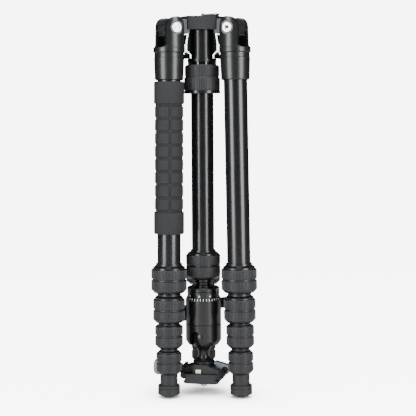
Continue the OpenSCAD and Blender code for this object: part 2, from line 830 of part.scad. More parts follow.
// Turning body of the head with its drop notch, and the cup that brakes the ball
module head_body() {
    mouth = body_h * 0.06;
    groove = body_r * 0.025;
    groove_z = body_bottom + body_h * body_groove_share;
    seat_top = ball_z + ball_r * 1.25;
    seat_r = ball_r + turn_gap;
    color(black_metal)
        on_column() {
            difference() {
                rotate_extrude()
                    polygon([
                        [0, body_bottom], [body_r - mouth, body_bottom],
                        [body_r - mouth / 3, body_bottom + mouth],
                        [body_r, body_bottom + mouth * 1.6], [body_r, groove_z - groove],
                        [body_r - groove, groove_z], [body_r, groove_z + groove],
                        [body_r, body_top - mouth], [base_r + groove, body_top],
                        [0, body_top],
                    ]);
                translate([0, 0, ball_z]) sphere(r = seat_r);
                translate([0, 0, ball_z])
                    cylinder(r = seat_r + shaft_gap, h = seat_top - ball_z);
                rotate([0, 0, notch_azimuth])
                    translate([0, 0, ball_z + seat_gap])
                        rotate([90, 0, 90])
                            linear_extrude(2 * body_r) {
                                circle(r = notch_r);
                                translate([-notch_r, -2 * ball_rise])
                                    square([2 * notch_r, 2 * ball_rise]);
                            }
                translate([0, 0, spindle_end])
                    cylinder(r = spindle_r + shaft_gap, h = body_top - spindle_end + cut);
                translate([0, 0, spindle_end - seat_gap])
                    cylinder(r = spindle_foot_r + seat_gap, h = spindle_foot_h + seat_gap + turn_gap);
                knob_place(lock_knob_azimuth, lock_knob_z)
                    translate([0, 0, knob_hole])
                        cylinder(r = knob_shaft_r + shaft_gap, h = body_r);
                knob_place(pan_knob_azimuth, pan_knob_z)
                    translate([0, 0, knob_hole])
                        cylinder(r = knob_shaft_r + shaft_gap, h = body_r);
            }
            difference() {
                translate([0, 0, ball_z + ball_r / 3])
                    cylinder(r = seat_r - shaft_gap, h = seat_top - shaft_gap - ball_z - ball_r / 3);
                translate([0, 0, ball_z]) sphere(r = ball_r + shaft_gap);
            }
        }
}
// Knobs of the head: shaft radius, depth of the shaft's hole, directions and heights
knob_shaft_r = 3;
knob_hole = body_r * 0.62;
lock_knob_azimuth = 150;
lock_knob_z = body_bottom + body_h * 0.6;
pan_knob_azimuth = 30;
pan_knob_z = body_bottom + body_h * 0.82;

// Turns children so that +Z points outward at an azimuth, at a height on the column
module knob_place(azimuth, z) {
    translate([0, 0, z]) rotate([0, 90, azimuth]) children();
}

// Fluted knob on a shaft, standing off the head's body
module fluted_knob(r, h, flutes) {
    start = body_r + seat_gap;
    collar = h / 5;
    bevel = r / 8;
    difference() {
        rotate_extrude()
            polygon([
                [0, knob_hole + seat_gap], [knob_shaft_r, knob_hole + seat_gap],
                [knob_shaft_r, start], [r * 0.7, start], [r * 0.7, start + collar],
                [r - bevel, start + collar], [r, start + collar + bevel],
                [r, start + collar + h - bevel], [r - bevel, start + collar + h],
                [0, start + collar + h],
            ]);
        for (k = [0:flutes - 1])
            rotate([0, 0, k * 360 / flutes])
                translate([r * 1.12, 0, start + collar - cut])
                    cylinder(r = r / 5, h = h + 2 * cut);
    }
}

// Knob that locks the ball
module ball_lock_knob() {
    color(ribbed)
        on_column()
            knob_place(lock_knob_azimuth, lock_knob_z) fluted_knob(lock_knob_r, lock_knob_h, 10);
}

// Smaller knob that locks the panning base
module pan_lock_knob() {
    color(ribbed)
        on_column()
            knob_place(pan_knob_azimuth, pan_knob_z) fluted_knob(pan_knob_r, pan_knob_h, 8);
}

// Ball and its waisted neck, turned in one piece
module ball_stem() {
    steps = 12;
    flare = clamp_pad_r - turn_gap - neck_r;
    top = ball_z - ball_r * 0.8;
    run = top - clamp_top;
    color(black_metal)
        on_column() {
            translate([0, 0, ball_z]) sphere(r = ball_r);
            rotate_extrude()
                polygon(concat(
                    [[0, clamp_top + pin_gap]],
                    [for (k = [0:steps]) let (f = k / steps)
                        [neck_r + flare * pow(abs(1 - 2 * f), 3) * (f < 0.5 ? 0.85 : 0.5),
                         clamp_top + pin_gap + f * run]],
                    [[0, top]]));
        }
}

// Half the plate's width, and the corners of its dovetail as drops below its top
plate_half = plate_w / 2;
dovetail_lip = 2.5;
dovetail_in = 2.8;
dovetail_waist = 1.2;
waist_half = plate_half - dovetail_in;
jaw_half = plate_half + thread_gap * 2;
jaw_out = jaw_half + jaw_wall;
jaw_bottom = plate_top - dovetail_lip - dovetail_in - dovetail_waist + thread_gap * 4;

// Outline in X and Z of a jaw's hook, which grips one side of the dovetail, up to a height
module jaw_hook(top) {
    tip = waist_half + thread_gap * 4;
    bevel = jaw_wall / 4;
    polygon([
        [tip, jaw_bottom], [jaw_out - bevel, jaw_bottom], [jaw_out, jaw_bottom + bevel],
        [jaw_out, top], [jaw_half, top], [jaw_half, plate_top - dovetail_lip - thread_gap],
        [tip, plate_top - dovetail_lip - dovetail_in + thread_gap],
    ]);
}

// Clamp base: middle block, round pad, wings and the fixed jaw with room for the cam
module clamp_base() {
    half = clamp_len / 2;
    wing_start = lever_w / 2 + seat_gap * 2;
    wing_top = block_top - block_h * 0.15;
    wing_low = block_bottom + rod_r * 0.8;
    left_end = jaw_half + seat_gap * 2;
    cam_bottom = rod_z - cam_r - seat_gap;
    color(casting)
        on_clamp()
            difference() {
                intersection() {
                    clamp_plan();
                    union() {
                        translate([0, 0, block_top - cut])
                            cylinder(r = clamp_pad_r, h = clamp_pad_h + cut);
                        translate([-block_w / 2, -half, block_bottom])
                            cube([block_w, clamp_len, block_h]);
                        for (side = [-1, 1])
                            translate([0, side * (wing_start + half) / 2, 0])
                                extrude_y(half - wing_start) {
                                    polygon([
                                        [0, block_bottom], [jaw_out, block_bottom],
                                        [jaw_out, wing_low], [block_w / 2, wing_top],
                                        [0, wing_top],
                                    ]);
                                    jaw_hook(block_bottom + seat_gap);
                                }
                        extrude_y(clamp_len - 2 * jaw_wall)
                            polygon([
                                [0, block_bottom], [-left_end + seat_gap, block_bottom],
                                [-left_end + seat_gap, wing_low + rod_r],
                                [-block_w / 2, wing_top], [0, wing_top],
                            ]);
                        extrude_y(2 * wing_start + cut) jaw_hook(cam_bottom);
                    }
                }
                translate([-plate_w, 0, rod_z])
                    rotate([0, 90, 0]) cylinder(r = rod_r + shaft_gap, h = 2 * plate_w);
                translate([level_x, -half - level_r * 0.3, level_z])
                    rotate([0, 90, 0])
                        cylinder(r = level_r + turn_gap, h = level_len + 2 * turn_gap, center = true);
            }
}
// Middle of the bubble level in the clamp's front face
level_x = -block_w / 7;
level_z = plate_top + seat_gap + level_r;

// Plan of the whole clamp with its four corners cut off, as tall as the clamp
module clamp_plan() {
    x = jaw_out;
    y = clamp_len / 2;
    corner = jaw_wall * corner_share;
    translate([0, 0, plate_bottom])
        linear_extrude(clamp_top - plate_bottom)
            polygon([
                [x - corner, -y], [x, corner - y], [x, y - corner], [x - corner, y],
                [corner - x, y], [-x, y - corner], [-x, corner - y], [corner - x, -y],
            ]);
}

// Moving jaw of the clamp, on the side of the tension knob
module clamp_jaw() {
    face = jaw_half + seat_gap * 2;
    top = rod_z + rod_r * 1.7;
    front = clamp_len / 2 - jaw_wall;
    color(casting)
        on_clamp()
            mirror([1, 0, 0])
                difference() {
                    intersection() {
                        clamp_plan();
                        union() {
                            extrude_y(clamp_len) jaw_hook(block_bottom - turn_gap);
                            extrude_y(2 * front)
                                polygon([
                                    [face, block_bottom - seat_gap * 2],
                                    [jaw_out, block_bottom - seat_gap * 2],
                                    [jaw_out, top - jaw_wall / 3], [jaw_out - jaw_wall / 3, top],
                                    [face, top],
                                ]);
                        }
                    }
                    translate([0, 0, rod_z])
                        rotate([0, 90, 0]) cylinder(r = rod_r + shaft_gap, h = 2 * plate_w);
                }
}

// Tension knob with the tie rod that draws the jaws together
module clamp_knob() {
    bevel = tension_knob_r / 6;
    hub_r = rod_r * 2;
    rod_end = cam_x - cam_r - seat_gap;
    drum = tension_knob_out - tension_knob_h;
    socket_r = rod_r + pin_gap;
    socket_end = drum + tension_knob_h / 2;
    color(grey_metal)
        on_clamp()
            translate([0, 0, rod_z])
                rotate([0, -90, 0]) {
                    translate([0, 0, -rod_end])
                        cylinder(r = rod_r, h = rod_end + socket_end - pin_gap);
                    rotate_extrude()
                        polygon([
                            [socket_r, jaw_out + turn_gap], [hub_r, jaw_out + turn_gap],
                            [hub_r, drum], [tension_knob_r - bevel, drum],
                            [tension_knob_r, drum + bevel],
                            [tension_knob_r, tension_knob_out - bevel * 1.5],
                            [tension_knob_r - bevel, tension_knob_out],
                            [0, tension_knob_out], [0, socket_end], [socket_r, socket_end],
                        ]);
                }
}
// Distance of the lever's pivot from the column axis: clear of the plate's edge
cam_x = jaw_half + sqrt(pow(cam_r + seat_gap, 2) - pow(rod_r + seat_gap, 2));

// Cam lever: a forked teardrop folded over the clamp, with the cam's pin across it
module clamp_lever() {
    tip_r = lever_len * 0.12;
    lean = 147;
    pin_r = cam_r * 0.66;
    color(grey_metal)
        on_clamp()
            translate([cam_x, 0, rod_z])
                difference() {
                    union() {
                        extrude_y(lever_w) circle(r = cam_r);
                        difference() {
                            extrude_y(lever_w) lever_outline(lean, tip_r);
                            translate([-lever_len, 0, -rod_r])
                                cube(
                                    [3 * lever_len, lever_w - 2 * lever_side, 2 * (2 * rod_r + seat_gap)],
                                    center = true);
                        }
                    }
                    for (side = [-1, 1])
                        translate([0, side * lever_w / 2, 0])
                            extrude_y(lever_side / 2) circle(r = pin_r);
                }
}

// Outline of the lever in X and Z: its straight flanks touch the cam and the round tip
module lever_outline(lean, tip_r) {
    reach = lever_len - tip_r;
    open = acos((cam_r - tip_r) / reach);
    rotate(lean) {
        translate([reach, 0]) circle(r = tip_r);
        polygon([
            [cam_r * cos(open), cam_r * sin(open)],
            [reach + tip_r * cos(open), tip_r * sin(open)],
            [reach + tip_r * cos(open), -tip_r * sin(open)],
            [cam_r * cos(open), -cam_r * sin(open)],
        ]);
    }
}

// Bubble level let into the front of the clamp
module bubble_level() {
    color("#e8ecd8")
        on_clamp()
            translate([level_x, -clamp_len / 2 - level_r * 0.3, level_z])
                rotate([0, 90, 0]) cylinder(r = level_r, h = level_len, center = true);
}

// Quick-release plate: dovetail, waist and the platform that meets the camera
module release_plate() {
    corner = plate_w / 12;
    foot_drop = dovetail_lip + dovetail_in + dovetail_waist;
    color(black_metal)
        on_clamp()
            difference() {
                intersection() {
                    extrude_y(plate_len)
                        polygon([for (side = [-1, 1]) each [for (k = [0:5]) let (p = [
                            [plate_half, plate_top],
                            [plate_half, plate_top - dovetail_lip],
                            [waist_half, plate_top - dovetail_lip - dovetail_in],
                            [waist_half, plate_top - foot_drop],
                            [plate_half, plate_bottom + plate_pad_h],
                            [plate_half, plate_bottom]][side < 0 ? k : 5 - k])
                            [-side * p[0], p[1]]]]);
                    translate([0, 0, plate_bottom - cut])
                        linear_extrude(plate_h + 2 * cut) plate_outline(corner);
                }
                translate([0, 0, plate_bottom - cut])
                    cylinder(r = camera_screw_r + thread_gap, h = plate_h + 2 * cut);
                translate([0, 0, plate_top - screw_head_h - seat_gap])
                    cylinder(r = screw_head_r + seat_gap, h = screw_head_h + seat_gap + cut);
            }
}

// Plan of the plate: a rectangle with its corners cut off
module plate_outline(corner) {
    x = plate_half;
    y = plate_len / 2;
    polygon([
        [x - corner, -y], [x, corner - y], [x, y - corner], [x - corner, y],
        [corner - x, y], [-x, y - corner], [-x, corner - y], [corner - x, -y],
    ]);
}

// Rubber pad between the plate and the camera
module plate_pad() {
    color(rubber)
        on_clamp()
            translate([0, 0, pad_bottom])
                difference() {
                    linear_extrude(plate_pad_h) plate_outline(plate_w / 12);
                    translate([0, 0, -cut])
                        cylinder(r = camera_screw_r + seat_gap, h = plate_pad_h + 2 * cut);
                }
}

// Camera screw: a slotted head in the plate, a thin captive neck and a thread below it
module camera_screw() {
    tip = pad_bottom - camera_screw_out;
    point = camera_screw_r / 5;
    screw_neck_r = camera_screw_r * screw_neck_share;
    thread_top = pad_bottom - seat_gap;
    head_top = plate_top - seat_gap;
    color(bright)
        on_clamp()
            difference() {
                rotate_extrude()
                    polygon([
                        [0, tip], [camera_screw_r - point, tip], [camera_screw_r, tip + point],
                        [camera_screw_r, thread_top], [screw_neck_r, thread_top],
                        [screw_neck_r, head_top - screw_head_h],
                        [screw_head_r, head_top - screw_head_h],
                        [screw_head_r, head_top], [0, head_top],
                    ]);
                translate([0, 0, head_top])
                    cube([2 * screw_head_r, screw_head_h / 2, screw_head_h], center = true);
            }
}
// Head of the camera screw
screw_head_r = camera_screw_r * 2.4;
screw_head_h = 2.2;

spider();
pivot_bolts();
column_ring_upper();
column_ring_lower();
column_tube_outer();
column_end_cap();
bag_hook();
column_collar();
column_tube_inner();
head_mount();
pan_base();
head_body();
ball_lock_knob();
pan_lock_knob();
ball_stem();
clamp_base();
clamp_jaw();
clamp_knob();
clamp_lever();
bubble_level();
release_plate();
plate_pad();
camera_screw();
on_leg(0) shoulder();  // left_shoulder
on_leg(0) angle_tab();  // left_angle_tab
on_leg(0) leg_tube(0);  // left_tube_1
on_leg(0) leg_tube(1);  // left_tube_2
on_leg(0) leg_tube(2);  // left_tube_3
on_leg(0) leg_tube(3);  // left_tube_4
on_leg(0) last_tube();  // left_tube_5
on_leg(0) leg_collar(0);  // left_collar_1
on_leg(0) leg_collar(1);  // left_collar_2
on_leg(0) leg_collar(2);  // left_collar_3
on_leg(0) leg_collar(3);  // left_collar_4
on_leg(0) foot();  // left_foot
on_leg(0) grip();  // left_grip
on_leg(1) shoulder();  // right_shoulder
on_leg(1) angle_tab();  // right_angle_tab
on_leg(1) leg_tube(0);  // right_tube_1
on_leg(1) leg_tube(1);  // right_tube_2
on_leg(1) leg_tube(2);  // right_tube_3
on_leg(1) leg_tube(3);  // right_tube_4
on_leg(1) last_tube();  // right_tube_5
on_leg(1) leg_collar(0);  // right_collar_1
on_leg(1) leg_collar(1);  // right_collar_2
on_leg(1) leg_collar(2);  // right_collar_3
on_leg(1) leg_collar(3);  // right_collar_4
on_leg(1) foot();  // right_foot
on_leg(2) shoulder();  // rear_shoulder
on_leg(2) angle_tab();  // rear_angle_tab
on_leg(2) leg_tube(0);  // rear_tube_1
on_leg(2) leg_tube(1);  // rear_tube_2
on_leg(2) leg_tube(2);  // rear_tube_3
on_leg(2) leg_tube(3);  // rear_tube_4
on_leg(2) last_tube();  // rear_tube_5
on_leg(2) leg_collar(0);  // rear_collar_1
on_leg(2) leg_collar(1);  // rear_collar_2
on_leg(2) leg_collar(2);  // rear_collar_3
on_leg(2) leg_collar(3);  // rear_collar_4
on_leg(2) foot();  // rear_foot
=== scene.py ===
"""Looks of a folded travel tripod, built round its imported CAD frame.

Every length is in metres unless its name ends in _mm. The CAD frame gives each place:
the joints say where the axes of the legs, collars and knobs run.
"""

import json
import logging
import math
from dataclasses import dataclass, field
from enum import Enum

import bpy
import numpy as np
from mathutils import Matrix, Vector


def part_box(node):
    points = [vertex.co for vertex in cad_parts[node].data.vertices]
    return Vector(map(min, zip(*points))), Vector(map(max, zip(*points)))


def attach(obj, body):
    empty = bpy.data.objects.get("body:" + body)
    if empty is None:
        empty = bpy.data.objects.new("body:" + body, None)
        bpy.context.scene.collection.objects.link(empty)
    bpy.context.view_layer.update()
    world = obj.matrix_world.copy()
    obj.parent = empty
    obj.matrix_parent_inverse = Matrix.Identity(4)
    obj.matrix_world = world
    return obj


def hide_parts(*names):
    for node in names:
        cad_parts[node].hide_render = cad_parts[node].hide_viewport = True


log = logging.getLogger("tripod")
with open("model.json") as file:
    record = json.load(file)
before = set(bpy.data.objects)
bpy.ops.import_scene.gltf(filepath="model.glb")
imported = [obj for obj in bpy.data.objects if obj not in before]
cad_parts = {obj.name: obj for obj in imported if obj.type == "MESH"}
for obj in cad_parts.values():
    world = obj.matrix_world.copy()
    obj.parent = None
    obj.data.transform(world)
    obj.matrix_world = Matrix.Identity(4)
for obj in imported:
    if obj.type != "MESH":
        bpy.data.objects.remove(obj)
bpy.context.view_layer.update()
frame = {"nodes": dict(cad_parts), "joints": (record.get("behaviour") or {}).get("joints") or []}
JOINTS = {joint["name"]: joint for joint in frame["joints"]}
MM = 0.001
LEGS = ("left", "right", "rear")
# Points round each rib, and how square and how narrow a rib's crest is
RIB_POINTS, RIB_SQUARE, RIB_SHIFT = 8, 2.6, 0.1


def linear(hex_colour: str) -> tuple[float, float, float, float]:
    """Turns an sRGB hex colour into the linear colour that the shader works in.

    Args:
        hex_colour: colour such as "#1c1d20".

    Returns:
        Red, green, blue and alpha, linear.
    """
    srgb = np.array([int(hex_colour[i:i + 2], 16) for i in (1, 3, 5)]) / 255
    light = np.where(srgb <= 0.04045, srgb / 12.92, ((srgb + 0.055) / 1.055) ** 2.4)
    return (*map(float, light), 1.0)


def add_node(tree: bpy.types.NodeTree, kind: str, inputs: dict | None = None, **settings) -> bpy.types.Node:
    """Adds one node with its settings, its constants and its links.

    Args:
        tree: node tree that the node goes into.
        kind: Blender's name of the node's type.
        inputs: input name or number to a value, or to the output socket linked to it.
        settings: attributes of the node itself.

    Returns:
        The new node.
    """
    node = tree.nodes.new(kind)
    for name, value in settings.items():
        setattr(node, name, value)
    for key, value in (inputs or {}).items():
        if isinstance(value, bpy.types.NodeSocket):
            tree.links.new(value, node.inputs[key])
        else:
            node.inputs[key].default_value = value
    return node


class Grain(Enum):
    """How a surface was made, which settles the marks it carries."""

    CAST = "fine orange peel of a coated die casting"
    DRAWN = "faint lines along a drawn and anodised tube"
    TURNED = "faint rings round a turned piece"
    MOULDED = "matte mottling of moulded rubber"
    FOAM = "closed cells of dense foam rubber"
    POLISHED = "clean polished face"


# Stretch of the grain pattern along X, Y and Z: a drawn tube's lines run along Z,
# a turned piece's rings run round Z
STRETCH = {
    Grain.CAST: (1, 1, 1),
    Grain.DRAWN: (1, 1, 0.02),
    Grain.TURNED: (0.03, 0.03, 1),
    Grain.MOULDED: (1, 1, 1),
    Grain.FOAM: (1, 1, 1),
    Grain.POLISHED: (1, 1, 1),
}


@dataclass(frozen=True)
class Finish:
    """One real material with the way its surface was made.

    Args:
        name: the material's common name and make.
        colour: main sRGB colour.
        shade: second sRGB colour that the main one drifts to in patches.
        metallic: 0 for coatings, rubber and plastic, 1 for bare metal.
        roughness: middle roughness.
        drift: how far the roughness wanders either way.
        grain: how the surface was made.
        grain_mm: size of the grain, drawn coarse enough to show.
        depth_mm: height of the grain.
        coat: clear gloss over it, from 0 to 1.
        sheen: soft edge light of rubber, from 0 to 1.
    """

    name: str
    colour: str
    shade: str
    metallic: float
    roughness: float
    drift: float
    grain: Grain
    grain_mm: float
    depth_mm: float
    coat: float = 0.0
    sheen: float = 0.0

    def material(self) -> bpy.types.Material:
        """Builds the material once and gives the same one afterwards."""
        known = bpy.data.materials.get(self.name)
        if known:
            return known
        material = bpy.data.materials.new(self.name)
        material.use_nodes = True
        tree = material.node_tree
        tree.nodes.clear()
        place = add_node(tree, "ShaderNodeTexCoord")
        patches = add_node(
            tree, "ShaderNodeTexNoise",
            {"Vector": place.outputs["Object"], "Scale": 55.0, "Detail": 4.0, "Roughness": 0.55},
        )
        colour = add_node(
            tree, "ShaderNodeMix",
            {0: patches.outputs["Fac"], 6: linear(self.colour), 7: linear(self.shade)},
            data_type="RGBA",
        )
        stretched = add_node(
            tree, "ShaderNodeMapping",
            {"Vector": place.outputs["Object"], "Scale": STRETCH[self.grain]},
        )
        grain = self._grain(tree, stretched.outputs["Vector"])
        roughness = add_node(
            tree, "ShaderNodeMapRange",
            {"Value": grain, "To Min": self.roughness - self.drift,
             "To Max": self.roughness + self.drift},
        )
        bump = add_node(
            tree, "ShaderNodeBump",
            {"Height": grain, "Distance": self.depth_mm * MM, "Strength": 1.0},
        )
        shader = add_node(
            tree, "ShaderNodeBsdfPrincipled",
            {"Base Color": colour.outputs[2], "Roughness": roughness.outputs["Result"],
             "Normal": bump.outputs["Normal"], "Metallic": self.metallic,
             "Coat Weight": self.coat, "Coat Roughness": 0.12, "Sheen Weight": self.sheen},
        )
        add_node(tree, "ShaderNodeOutputMaterial", {"Surface": shader.outputs["BSDF"]})
        return material

    def _grain(self, tree: bpy.types.NodeTree, vector: bpy.types.NodeSocket) -> bpy.types.NodeSocket:
        """Adds the grain's pattern and returns its height, from 0 to 1."""
        if self.grain is Grain.FOAM:
            cells = add_node(
                tree, "ShaderNodeTexVoronoi",
                {"Vector": vector, "Scale": 1 / (self.grain_mm * MM)}, feature="SMOOTH_F1",
            )
            return cells.outputs["Distance"]
        noise = add_node(
            tree, "ShaderNodeTexNoise",
            {"Vector": vector, "Scale": 1 / (self.grain_mm * MM), "Detail": 3.0, "Roughness": 0.6},
        )
        return noise.outputs["Fac"]


# Black anodised drawn aluminium: deep black between two soft upright highlights
ANODISED_TUBE = Finish(
    "black anodised drawn aluminium", "#0f1012", "#141518", 0.0, 0.27, 0.05,
    Grain.DRAWN, 0.9, 0.01, coat=0.25)
# Black powder-coated magnesium casting: satin, with a fine orange peel
COATED_CASTING = Finish(
    "black coated magnesium casting", "#121315", "#18191b", 0.0, 0.34, 0.06,
    Grain.CAST, 1.1, 0.03, coat=0.15)
# The hub block is the same casting with a drier, greyer coat
HUB_COAT = Finish(
    "dark grey coated magnesium casting", "#202124", "#27282b", 0.0, 0.46, 0.05,
    Grain.CAST, 1.1, 0.03)
# Moulded nitrile rubber of the locking collars: matte dark grey
COLLAR_RUBBER = Finish(
    "moulded nitrile rubber", "#28292c", "#2f3033", 0.0, 0.55, 0.06,
    Grain.MOULDED, 1.6, 0.02, sheen=0.1)
# Smooth nylon in the groove and lip of a collar: a satin line between the matte ribs
COLLAR_BAND = Finish(
    "smooth moulded nylon band", "#17181b", "#1e1f22", 0.0, 0.3, 0.05,
    Grain.TURNED, 1.2, 0.01)
# Dense foam rubber of the grip: dry and matte, its pads told apart by their grooves
GRIP_FOAM = Finish(
    "moulded foam rubber", "#18191b", "#1e1f21", 0.0, 0.8, 0.06,
    Grain.FOAM, 1.2, 0.05)
# Moulded thermoplastic rubber of the feet: a soft black without a highlight
FOOT_RUBBER = Finish(
    "moulded thermoplastic rubber", "#17181a", "#1d1e20", 0.0, 0.6, 0.07,
    Grain.MOULDED, 1.6, 0.04)
# Turned and anodised aluminium of the ball head: satin black with a bright rim light
ANODISED_HEAD = Finish(
    "black anodised turned aluminium", "#0f1012", "#141517", 0.0, 0.3, 0.05,
    Grain.TURNED, 0.9, 0.01, coat=0.2)
# Clamp and plate: bead-blasted and anodised aluminium, an even dull black
BLASTED_CLAMP = Finish(
    "black bead-blasted aluminium", "#16171a", "#1d1e21", 0.0, 0.45, 0.06,
    Grain.CAST, 0.9, 0.02)
# Lever and tension knob: even mid grey with a soft gleam, as lacquered castings have
SILVER_LACQUER = Finish(
    "silver-grey lacquered aluminium", "#7e858b", "#899096", 0.15, 0.38, 0.06,
    Grain.CAST, 0.9, 0.01, coat=0.15)
# Bolts and screws: nickel-plated steel, the brightest metal on the tripod
PLATED_STEEL = Finish(
    "nickel-plated steel", "#c9cbce", "#d6d8da", 1.0, 0.24, 0.05,
    Grain.TURNED, 0.7, 0.01)
# Sheared edges of the angle tabs: a painted highlight in bright steel, a bright line beside the black faces
TAB_EDGE_HIGHLIGHT = Finish(
    "bright steel for the painted tab edge highlight", "#c3c6ca", "#d0d3d6", 1.0, 0.3, 0.06,
    Grain.DRAWN, 0.9, 0.01)
# Nose of the column lock: polished before it is anodised, so that it mirrors the lights
POLISHED_NOSE = Finish(
    "black anodised polished aluminium", "#101113", "#141517", 0.0, 0.1, 0.03,
    Grain.TURNED, 0.7, 0.005, coat=0.6)
# Vial marks, tab faces and the lever's pin: black oxide, a dull blue-black; in the bolts' hex sockets and
# grooves the same dark is painted shade
BLACK_OXIDE_AND_SHADE = Finish(
    "black oxide steel and painted shade", "#18191b", "#202123", 0.3, 0.42, 0.05,
    Grain.TURNED, 0.9, 0.01)
# Bag hook: bent steel bar with a zinc coat, a flat cool grey
ZINC_STEEL = Finish(
    "grey zinc-plated steel", "#7d8084", "#8b8e92", 0.9, 0.36, 0.06,
    Grain.DRAWN, 0.9, 0.01)
# Camera side of the plate: thin black rubber, dull beside the metal round it
PAD_RUBBER = Finish(
    "black sheet rubber", "#1a1a1b", "#212122", 0.0, 0.75, 0.05,
    Grain.MOULDED, 0.8, 0.03)
# White paint in the scale's engraved marks: small crisp marks on the black head
MARK_PAINT = Finish(
    "white engraving paint", "#e6e8e8", "#dcdede", 0.0, 0.55, 0.05,
    Grain.POLISHED, 0.8, 0.0)
# Vial: clear acrylic with a pale green liquid behind it, a small glossy spot
VIAL_ACRYLIC = Finish(
    "acrylic vial with pale liquid", "#dfe6c8", "#e8ecd8", 0.0, 0.12, 0.03,
    Grain.POLISHED, 1.0, 0.0, coat=0.6)


@dataclass(frozen=True)
class Place:
    """Where a turned piece stands: a point on its axis, the axis, and a way across it.

    Args:
        origin: point on the axis, in the row frame.
        up: unit vector along the axis.
        out: unit vector across it, where an angle of 0 points.
    """

    origin: np.ndarray
    up: np.ndarray
    out: np.ndarray

    @classmethod
    def on_joint(cls, name: str, out: tuple[float, float, float] = (1.0, 0.0, 0.0)) -> "Place":
        """Takes the axis and point of a hinge.

        Args:
            name: the hinge's name.
            out: rough way across the axis, made square to it.

        Returns:
            The place.
        """
        joint = JOINTS[name]
        return cls.along(joint["pos_m"], joint["axis"], out)

    @classmethod
    def along(cls, origin: list[float], up: list[float], out: tuple[float, float, float]) -> "Place":
        """Takes a point, an axis and a rough way across it.

        Args:
            origin: point on the axis.
            up: the axis, of any length.
            out: rough way across the axis, made square to it.

        Returns:
            The place.
        """
        axis = np.array(up, float)
        axis /= np.linalg.norm(axis)
        across = np.array(out, float)
        across -= axis * (across @ axis)
        return cls(np.array(origin, float), axis, across / np.linalg.norm(across))

    def world(self, local: np.ndarray) -> np.ndarray:
        """Turns points given as out, side and up into the row frame."""
        side = np.cross(self.up, self.out)
        return (self.origin + local[..., :1] * self.out
                + local[..., 1:2] * side + local[..., 2:3] * self.up)


def adopt(piece: bpy.types.Object, body: str, *nodes: str) -> bpy.types.Object:
    """Makes a piece ride on a body and stand for the CAD nodes named."""
    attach(piece, body)
    if nodes:
        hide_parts(*nodes)
    log.info("%s rides on %s", piece.name, body)
    return piece


def mesh_piece(
    name: str, points: np.ndarray, finishes: list[Finish], bands: np.ndarray | None = None,
    close_rows: bool = True, smooth_deg: float = 35,
) -> bpy.types.Object:
    """Makes a piece from a grid of points whose columns run round and close on themselves.

    Row by row, neighbouring points are joined to quads. The rows close into a loop, as
    those of a ring do, or end in a flat face at each end. Faces are turned to point
    outwards by the sign of the volume that they hold.

    Args:
        name: the piece's name.
        points: array of rows, columns and 3.
        finishes: materials, in the order that bands counts them.
        bands: material number of each row of faces.
        close_rows: whether the last row joins the first.
        smooth_deg: edges sharper than this stay sharp.

    Returns:
        The new object, at the origin.
    """
    rows, columns = points.shape[:2]
    steps = rows if close_rows else rows - 1
    row, column = np.meshgrid(np.arange(steps), np.arange(columns), indexing="ij")
    below, right = (row + 1) % rows, (column + 1) % columns
    quads = np.stack([
        row * columns + column, row * columns + right,
        below * columns + right, below * columns + column], -1).reshape(-1, 4)
    vertices = points.reshape(-1, 3)
    materials = np.repeat(np.zeros(steps, int) if bands is None else bands[:steps], columns)
    faces = quads.tolist()
    a, b, c, d = (vertices[quads[:, k]] - vertices.mean(0) for k in range(4))
    volume = np.einsum("ij,ij->", a, np.cross(b, c)) + np.einsum("ij,ij->", a, np.cross(c, d))
    if not close_rows:
        faces += [list(range(columns))[::-1], list(range((rows - 1) * columns, rows * columns))]
        materials = np.concatenate([materials, [materials[0], materials[-1]]])
    if volume < 0:
        faces = [face[::-1] for face in faces]
    mesh = bpy.data.meshes.new(name)
    mesh.from_pydata(vertices.tolist(), [], faces)
    mesh.polygons.foreach_set("material_index", materials.astype(np.int32))
    mesh.shade_smooth()
    mesh.set_sharp_from_angle(angle=math.radians(smooth_deg))
    for finish in finishes:
        mesh.materials.append(finish.material())
    piece = bpy.data.objects.new(name, mesh)
    bpy.context.scene.collection.objects.link(piece)
    return piece


def turned(
    name: str, place: Place, profile: np.ndarray, finishes: list[Finish],
    bands: np.ndarray | None = None, ribs: int = 0, rib_depth: float = 0.0,
    rib_weight: np.ndarray | None = None, around: int = 96, close_rows: bool = True,
) -> bpy.types.Object:
    """Turns a profile round an axis, with ribs cut into part of it.

    A point at angle a on profile point p stands at radius r(p) - w(p) * d * (1 + s) / 2,
    where s is a squared-off cosine of the rib count times a, w is the profile's rib
    weight and d the depth.

    Args:
        name: the piece's name.
        place: the axis.
        profile: array of radius and height.
        finishes: materials, in the order that bands counts them.
        bands: material number of each step of the profile.
        ribs: number of ribs round it.
        rib_depth: depth of the valleys between ribs.
        rib_weight: share of that depth at each profile point.
        around: points round a piece without ribs.
        close_rows: whether the profile closes into a loop.

    Returns:
        The new object.
    """
    columns = ribs * RIB_POINTS if ribs else around
    angle = np.arange(columns) * 2 * np.pi / columns
    wave = np.zeros(columns)
    if ribs:
        wave = np.tanh(RIB_SQUARE * (np.cos(ribs * angle) - RIB_SHIFT)) / np.tanh(RIB_SQUARE)
    weight = np.zeros(len(profile)) if rib_weight is None else rib_weight
    radius = profile[:, :1] - weight[:, None] * rib_depth * (1 + wave[None, :]) / 2
    local = np.stack([
        radius * np.cos(angle), radius * np.sin(angle),
        np.broadcast_to(profile[:, 1:2], radius.shape)], -1)
    return mesh_piece(name, place.world(local), finishes, bands, close_rows)


